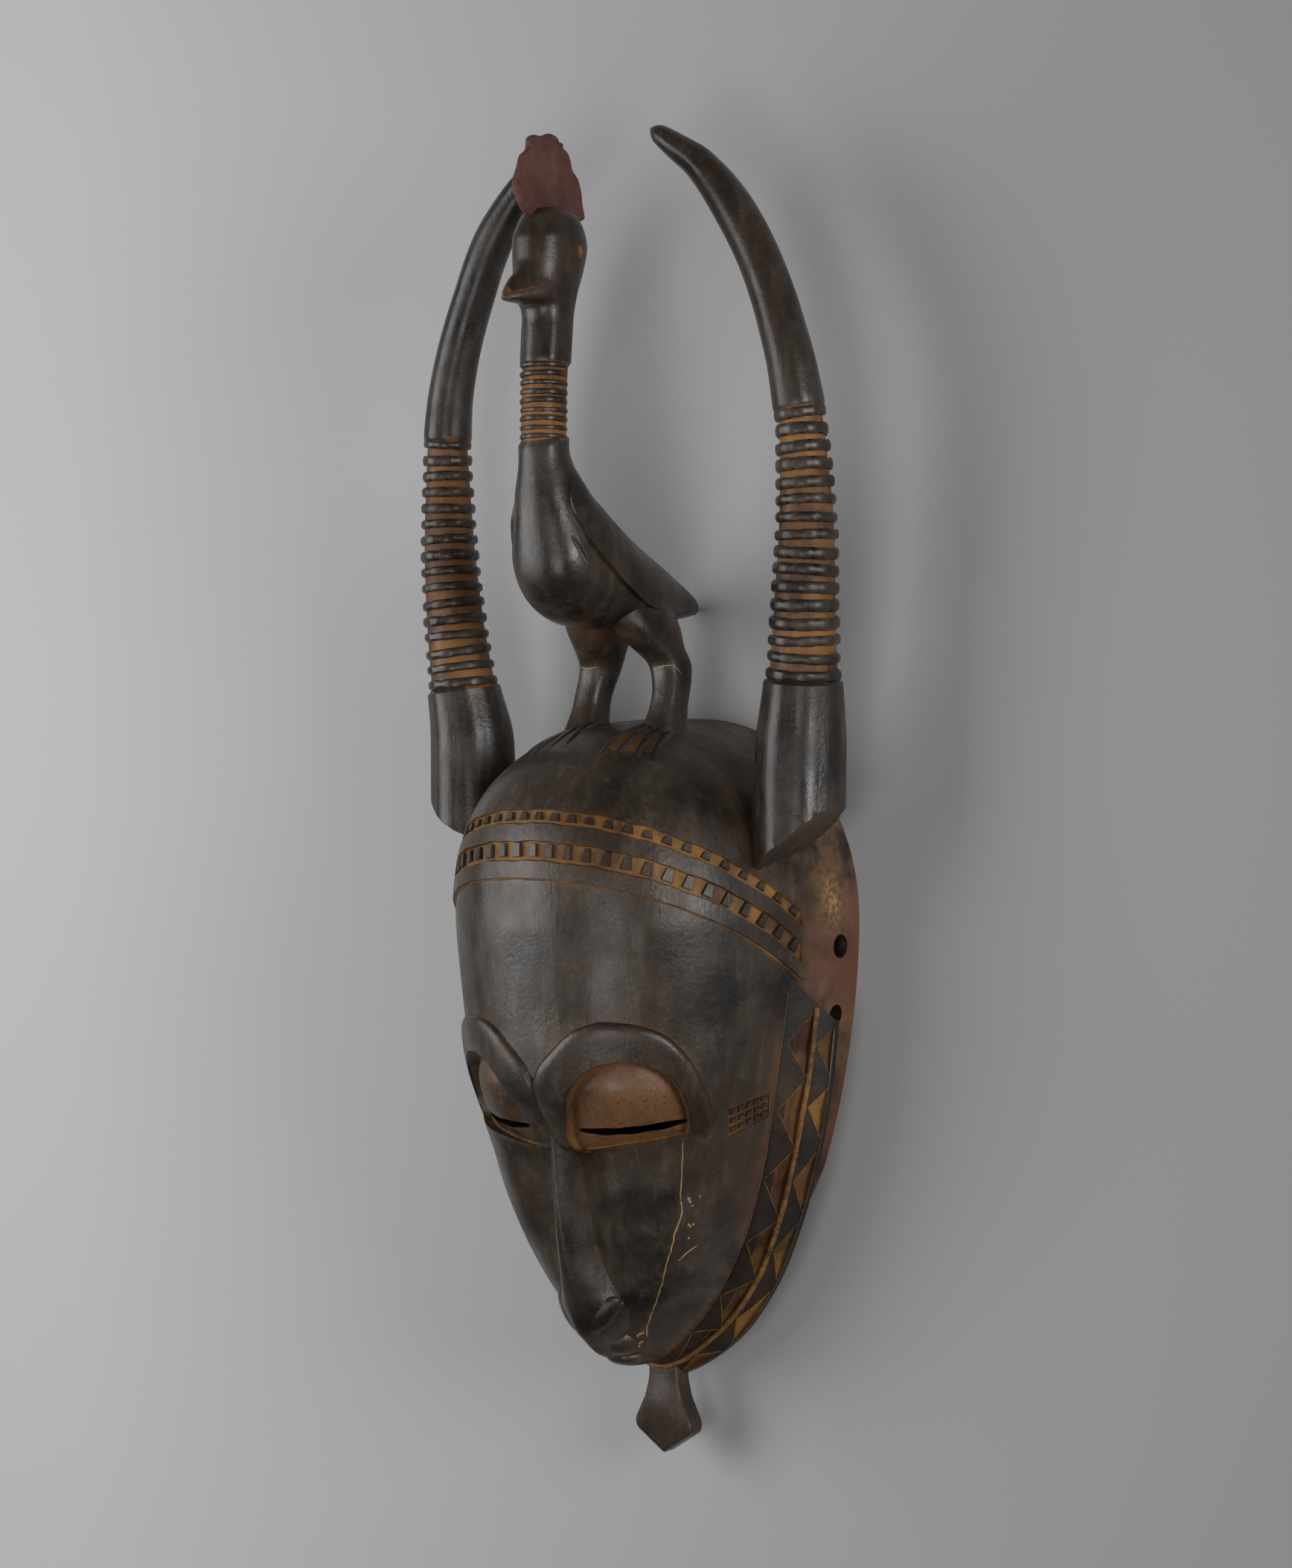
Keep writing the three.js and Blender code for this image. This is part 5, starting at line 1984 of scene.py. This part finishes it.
    def beak(self) -> Solid:
        """Wedge-shaped beak that rises out of the head to a blunt tip.

        Returns:
            The beak.
        """
        table = Curve([(z, *row) for z, *row in self.beak_sections])
        z = np.concatenate([np.linspace(86, 113, 24), np.linspace(113.8, 116.95, 9)])[:, None]
        angle = circle(40)[None, :]
        cos, sin = np.cos(angle), np.sin(angle)
        half, low, high = (table(z, k) for k in range(3))
        x = half * np.sign(cos) * np.abs(cos) ** np.where(sin > 0, 1.1, 0.8)
        seam = mix(low, high, self.seam_share)
        y = seam + np.where(sin > 0, (high - seam) * np.abs(sin) ** 1.1, -(seam - low) * np.abs(sin) ** 0.6)
        made = self.shop.loft("beak", np.stack([x, y, np.broadcast_to(z, x.shape)], axis=-1), Finish.STAIN)
        for face in made.data.polygons:
            if face.center.z > self.tip_from * MM:
                face.material_index = Finish.OCHRE.value
        return made

    def mouth_line(self, block: Solid) -> list[Solid]:
        """Cut between the halves of the beak on both sides.

        Args:
            block: the head and beak.

        Returns:
            The cutters.
        """
        path = through(self.mouth, 24)
        width = 0.62 * np.sin(np.linspace(1.1, 2.8, 24))
        lines = (settled(block, path * [side, 1, 1]) for side in SIDES)
        return [self.shop.ridge("mouth_line", line, width, Finish.BROWN, 8) for line in lines]

    def eyes(self) -> list[Solid]:
        """Almond notches at the sides of the head.

        Returns:
            The cutters.
        """
        x, y, z = self.eye_middle
        blocks = (pebble((side * x, y, z), self.eye_half, 2.0, self.eye_axes) for side in SIDES)
        return [self.shop.loft("bird_eye", block, Finish.ORANGE) for block in blocks]

    def comb_plate(self) -> Solid:
        """Thin scalloped comb with ochre worn through at its rim.

        Returns:
            The comb.
        """
        line = through(self.comb, 150, closed=True, passes=3)
        centre, half = line.mean(axis=0), self.comb_thick / 2
        rings = []
        profile = [(-half + step, shrink) for step, shrink in self.comb_rim]
        profile += [(half - step, shrink) for step, shrink in reversed(self.comb_rim)]
        for x, shrink in profile:
            inner = line + unit(centre - line) * shrink
            wave = 0.25 * np.sin(inner[:, 1] * 0.5 + inner[:, 0] * 0.3)
            rings.append(np.stack([x + wave, inner[:, 1], inner[:, 0]], axis=1))
        return self.shop.loft("comb", np.array(rings), Finish.RED)

    def leg(self, side: int) -> Solid:
        """Bent leg, round at the thigh and squarer below the knee.

        Args:
            side: 1 for the right, -1 for the left.

        Returns:
            The leg.
        """
        table = Curve([(-p[1], p[0], p[2], h[0], h[1]) for p, h in self.legs])
        y = np.linspace(72, 24, 40)[:, None]
        angle = circle(32)[None, :]
        power = mix(0.72, 1.0, smooth((y - 50) / 8))
        cos, sin = (np.sign(v) * np.abs(v) ** power for v in (np.cos(angle), np.sin(angle)))
        x = side * table(-y, 0) + table(-y, 2) * cos * 0.95
        z = table(-y, 1) + table(-y, 3) * sin * 0.95
        return self.shop.loft("leg", np.stack([x, np.broadcast_to(y, x.shape), z], axis=-1), Finish.STAIN)

    def foot(self, side: int) -> list[Solid]:
        """Foot as a thin raised web on the crown, with its toes as ridges.

        Args:
            side: 1 for the right, -1 for the left.

        Returns:
            The toes, and the web between them.
        """
        ends = np.array(self.toes_right if side > 0 else self.toes_left, float)
        roots = np.stack([np.linspace(-5.5, 5.5, len(ends)) + side * 18.2, np.full(len(ends), 50.0)], axis=1)
        t = np.linspace(0, 1, 16)
        made, edges = [], []
        for root, end in zip(roots, ends):
            x, z = mix(root[0], end[0], t), mix(root[1], end[1], t)
            y = crown_height(self.form, x, z)
            width = 2.0 - 0.5 * t**2
            path = np.stack([x, y - 0.25 - 0.5 * t**4, z], axis=1)
            made.append(self.shop.ridge("toe", path, width, Finish.STAIN))
            edges.append((x, z))
        across = np.linspace(0, len(ends) - 1, 19)
        web = []
        for share in t * 0.9:
            x, z = (
                np.interp(across, np.arange(len(ends)), [np.interp(share, t, edge[k]) for edge in edges])
                for k in range(2)
            )
            y = crown_height(self.form, x, z)
            top = np.stack([x, y + 0.75, z], axis=1)
            web.append(np.concatenate([top, (top - [0, 3.0, 0])[::-1]]))
        made.append(self.shop.loft("web", np.array(web), Finish.BROWN))
        return made

    def scars(self, block: Solid) -> list[Solid]:
        """Gouge at the shoulder and the pale cracks across the knees.

        Args:
            block: the bird.

        Returns:
            The cutters.
        """
        made = []
        for line in self.knee_cracks:
            path = through(line, 24)
            path[:, 1] += 0.5 * ripple(path, 2.0, 9.0)
            size = 0.17 + 0.1 * ripple(path, 1.5, 2.0)
            made.append(self.shop.ridge("knee_crack", settled(block, path), size, Finish.CRACK, 6))
        place = settled(block, np.array([self.gouge]))[0]
        hollow = pebble(place, self.gouge_half, 2.0, self.gouge_axes)
        made.append(self.shop.loft("gouge", hollow, Finish.STAIN))
        return made


def crown_height(form: FaceForm, x: Array, z: Array) -> Array:
    """Height of the dome above points of its plan.

    Args:
        form: plain form of the head.
        x: distances to the right.
        z: heights off the back.

    Returns:
        Values of y.
    """
    low, high = np.full(len(x), form.widest_y), np.full(len(x), form.crown_y)
    for _ in range(34):
        y = (low + high) / 2
        width, depth, square = form.section(y)
        inside = (np.abs(x) / np.maximum(width, 1e-6)) ** square + (z / np.maximum(depth, 1e-6)) ** square < 1
        low, high = np.where(inside, y, low), np.where(inside, high, y)
    return low


# ---------------------------------------------------------------- lug
@dataclass
class Lug(Carving):
    """Waisted lug under the chin."""

    outline: tuple = ((6.8, -213), (6.8, -219), (8.6, -226), (13.4, -235.5), (12.9, -238.5), (0, -247))
    point_from: float = -245.5
    low: float = 14.5
    high: float = 22.5

    def build(self) -> Solid:
        """Plate with rounded edges and a worn, uneven face.

        Returns:
            The lug.
        """
        right = np.array(self.outline, float)
        loop = np.concatenate([right, right[:-1][::-1] * [-1, 1]])
        points = []
        for a, b in zip(loop, np.roll(loop, -1, axis=0)):
            steps = max(int(np.linalg.norm(b - a) / 1.3), 1)
            points += [mix(a, b, s / steps) for s in range(steps)]
        line = np.array(points)
        smoothed = 0.5 * line + 0.25 * (np.roll(line, 1, axis=0) + np.roll(line, -1, axis=0))
        line = np.where(line[:, 1:] < self.point_from, line, smoothed)
        centre = np.stack([np.zeros(len(line)), line[:, 1]], axis=1)
        rings = []
        low, high = self.low, self.high
        profile = [(low, 0.8), (low + 0.4, 0.25), (low + 1, 0), (high - 1, 0)]
        profile += [(high - 0.35, 0.25), (high, 0.9)]
        for z, shrink in profile:
            inner = line + unit(centre - line + [0, 1e-6]) * shrink
            rings.append(np.stack([inner[:, 0], inner[:, 1] + shrink * 0.5, np.full(len(line), z)], axis=1))
        return self.shop.loft("lug", np.array(rings), Finish.STAIN)


# ---------------------------------------------------------------- the whole mask
@dataclass
class Mask(Carving):
    """The carving as one piece of wood."""

    # box and passes in which the joint of beak and head is scraped smooth, and the angle of a sharp edge
    joint_low: Place = (-14.0, 170.0, 84.0)
    joint_high: Place = (14.0, 203.0, 112.0)
    joint_passes: int = 14
    sharp_angle: float = 34.0

    def carve_face(self, block: Solid) -> None:
        """Join what stands proud of the face and cut what is sunk.

        Args:
            block: the plain head.
        """
        shop = self.shop
        features, band, collar = (kind(shop, self.form) for kind in (Features, HeadBand, Collar))
        shop.cut(block, collar.recess())
        shop.join(block, *features.brows())
        ring = collar.ring_body()
        shop.cut(ring, *collar.chips())
        lines = [collar.skin_line(block), ring, collar.cord(), collar.rim_lip_with_painted_highlight()]
        shop.join(block, *lines, *collar.chip_lines())
        shop.join(block, *features.mouth(), Lug(shop, self.form).build())
        shop.cut(block, *features.sockets())
        shop.join(block, *features.nose(), *features.ledges())
        shop.cut(block, *band.groove_cutters(), *band.scar_fields())
        shop.join(block, *band.stud_rows(), *band.scars(), band.hairline(), band.plug())
        shop.cut(block, *features.marks(block))

    def carve_bird(self, bird: Bird) -> Solid:
        """Build the bird without its toes.

        Args:
            bird: its sizes.

        Returns:
            The bird.
        """
        shop, made = self.shop, bird.body()
        shop.join(made, bird.beak())
        soften(made, self.joint_low, self.joint_high, self.joint_passes)
        shop.join(made, bird.ring_row())
        shop.cut(made, *bird.mouth_line(made), *bird.eyes())
        shop.join(made, bird.comb_plate(), *(bird.leg(side) for side in SIDES))
        shop.cut(made, *bird.scars(made))
        return made

    def carve(self) -> Solid:
        """Build the block and carve it from the face to the hollow.

        Returns:
            The carving.
        """
        shop, form = self.shop, self.form
        head, bird, horns = HeadShell(shop, form), Bird(shop, form), Horns(shop, form)
        block = head.shell()
        self.carve_face(block)
        log.info("face carved: %d faces", len(block.data.polygons))
        shop.join(block, self.carve_bird(bird))
        for side in SIDES:
            shop.join(block, *bird.foot(side))
        log.info("bird carved: %d faces", len(block.data.polygons))
        shop.join(block, *horns.build())
        shop.cut(block, head.hollow(), *Features(shop, form).slits(), *head.holes())
        log.info("mask carved: %d faces", len(block.data.polygons))
        return block

    def weather(self, obj: Solid) -> None:
        """Store how sharp, how sunk, how rusty and how bare the wood is at each vertex.

        Args:
            obj: the carving.
        """
        mesh = obj.data
        count = len(mesh.vertices)
        places, normals = vertex_rows(mesh, "co"), vertex_rows(mesh, "normal")
        a, b = edge_ends(mesh)
        gap = places[b] - places[a]
        length = np.maximum(np.linalg.norm(gap, axis=1), 1e-7)
        bend = ((normals[b] - normals[a]) * gap).sum(axis=1) / length
        total, weight = np.zeros(count), np.zeros(count)
        for ends_at in (a, b):
            np.add.at(total, ends_at, bend)
            np.add.at(weight, ends_at, 1.0)
        curve = total / np.maximum(weight, 1)
        on_head = np.zeros(count, bool)
        for face in mesh.polygons:
            if face.material_index == Finish.HEAD.value:
                on_head[list(face.vertices)] = True
        x, y, z = (places / MM).T
        # rust on the side walls up from the rim and low on the bird, and a bare patch low on the right
        # wall, above its cord holes
        wall = on_head * (1 - smooth((z - 16) / 34)) * smooth((y + 216) / 10) * (np.abs(x) > 20)
        belly = bump((y - 65) / 6) * bump(x / 16) * smooth((z - 22) / 10)
        belly = belly * (1 - smooth((z - 78) / 10)) * ~on_head
        bare = on_head * bump((z - 17) / 5) * bump((y + 36) / 9) * (x > 60)
        values = {
            "edge": np.clip(curve / 0.4, 0, 1),
            "recess": np.clip(-curve / 0.3, 0, 1),
            "rust": np.clip(wall + 0.8 * belly, 0, 1),
            "bare": bare,
        }
        for name, value in values.items():
            attribute = mesh.attributes.new(name, "FLOAT", "POINT")
            attribute.data.foreach_set("value", value.astype(np.float32))

    def build(self) -> Solid:
        """The finished piece, which stands for the CAD node.

        Returns:
            The carving.
        """
        obj = self.carve()
        obj.name = obj.data.name = "carved_mask"
        self.weather(obj)
        obj.data.set_sharp_from_angle(angle=math.radians(self.sharp_angle))
        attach(obj, "root")
        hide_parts("mask")
        return obj


# ---------------------------------------------------------------- floor, light and camera
@dataclass
class Studio:
    """Pale floor, soft light and the camera of the photograph."""

    # what the camera is aimed at, its distance, how far it stands to the right in degrees, and its lens
    target: Place = (0.0, 6.5, 33.0)
    distance: float = 1100.0
    angle: float = 37.0
    lens: float = 67.12
    # width of the frame that the lens is measured for, the usual one
    sensor: float = 36.0
    # tones of the floor's painted light falloff, lighter on the left and darker on the right, and the X in
    # metres where each is reached
    painted_light_falloff: tuple = (("c6c6c6", -0.35), ("959595", 0.3))
    sky: float = 0.085
    # name, place and size in metres, and power in watts
    lamps: tuple = (
        ("key", (-0.85, 0.1, 0.95), 0.9, 9.6),
        ("front", (0.45, -0.3, 1.3), 0.6, 4.2),
        ("side", (1.2, 0.15, 0.48), 0.5, 7.0),
    )
    aim: Place = (0.0, 0.0, 0.05)

    def floor(self) -> Solid:
        """Plain pale floor under the mask, with painted light falloff: its colour darkens from left to right.

        Returns:
            The floor.
        """
        mesh = bpy.data.meshes.new("floor")
        mesh.from_pydata([(-3, -3, 0), (3, -3, 0), (3, 3, 0), (-3, 3, 0)], [], [(0, 1, 2, 3)])
        made = bpy.data.materials.new("pale_floor_with_painted_falloff")
        made.use_nodes = True
        tree = made.node_tree
        tree.nodes.clear()
        place = add_node(tree, "ShaderNodeTexCoord").outputs["Object"]
        across = add_node(tree, "ShaderNodeSeparateXYZ", {0: place}).outputs["X"]
        # painted light falloff: the floor's colour runs from the lighter left tone to the darker right one
        (left, start), (right, end) = self.painted_light_falloff
        limits = {"Value": across, "From Min": start, "From Max": end}
        share = add_node(tree, "ShaderNodeMapRange", limits).outputs[0]
        tones = {0: share, 6: colour(left), 7: colour(right)}
        tone = add_node(tree, "ShaderNodeMix", tones, data_type="RGBA").outputs[2]
        matt = {"Base Color": tone, "Roughness": 0.9}
        surface = add_node(tree, "ShaderNodeBsdfPrincipled", matt).outputs[0]
        add_node(tree, "ShaderNodeOutputMaterial", {"Surface": surface})
        mesh.materials.append(made)
        floor = placed("floor", mesh)
        floor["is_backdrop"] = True
        return floor

    def lamp(self, name: str, place: Sequence[float], size: float, power: float) -> None:
        """Soft square lamp that faces the mask.

        Args:
            name: its name.
            place: where it stands.
            size: length of its sides.
            power: its power.
        """
        data = bpy.data.lights.new(name, "AREA")
        data.size, data.energy = size, power
        made = placed(name, data)
        made.location = Vector(place)
        made.rotation_euler = (Vector(place) - Vector(self.aim)).to_track_quat("Z", "Y").to_euler()

    def camera(self) -> None:
        """Camera at the photograph's viewing angle."""
        data = bpy.data.cameras.new("camera")
        data.lens, data.sensor_width, data.sensor_fit = self.lens, self.sensor, "AUTO"
        data.clip_start, data.clip_end = 0.05, 20.0
        turn = math.radians(self.angle)
        back = Vector((math.sin(turn), 0, math.cos(turn)))
        right = Vector((math.cos(turn), 0, -math.sin(turn)))
        made = placed("camera", data)
        place = Vector(self.target) * MM + back * self.distance * MM
        made.matrix_world = Matrix.Translation(place) @ Matrix((right, (0, 1, 0), back)).transposed().to_4x4()
        bpy.context.scene.camera = made

    def build(self) -> None:
        """Set up the studio."""
        scene = bpy.context.scene
        scene.view_settings.view_transform = "Standard"
        world = bpy.data.worlds.new("studio")
        world.use_nodes = True
        world.node_tree.nodes.clear()
        white = {"Color": colour("ffffff"), "Strength": self.sky}
        light = add_node(world.node_tree, "ShaderNodeBackground", white)
        add_node(world.node_tree, "ShaderNodeOutputWorld", {"Surface": light.outputs[0]})
        scene.world = world
        self.floor()
        for lamp in self.lamps:
            self.lamp(*lamp)
        self.camera()


def corners(box: tuple[Vector, Vector]) -> list[list[float]]:
    """Lowest and highest corner as plain numbers."""
    return [list(corner) for corner in box]


def main() -> None:
    """Build the mask and the studio."""
    shop = Workshop()
    mask = Mask(shop, FaceForm()).build()
    log.info("%s: %d triangles", mask.name, sum(len(p.vertices) - 2 for p in mask.data.polygons))
    Studio().build()
    sizes = {"cad": corners(CAD_BOX), "visual": corners(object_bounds())}
    log.info("sizes: %s", sizes)


if __name__ == "__main__":
    logging.basicConfig(level=logging.INFO, format="%(name)s: %(message)s")
    main()
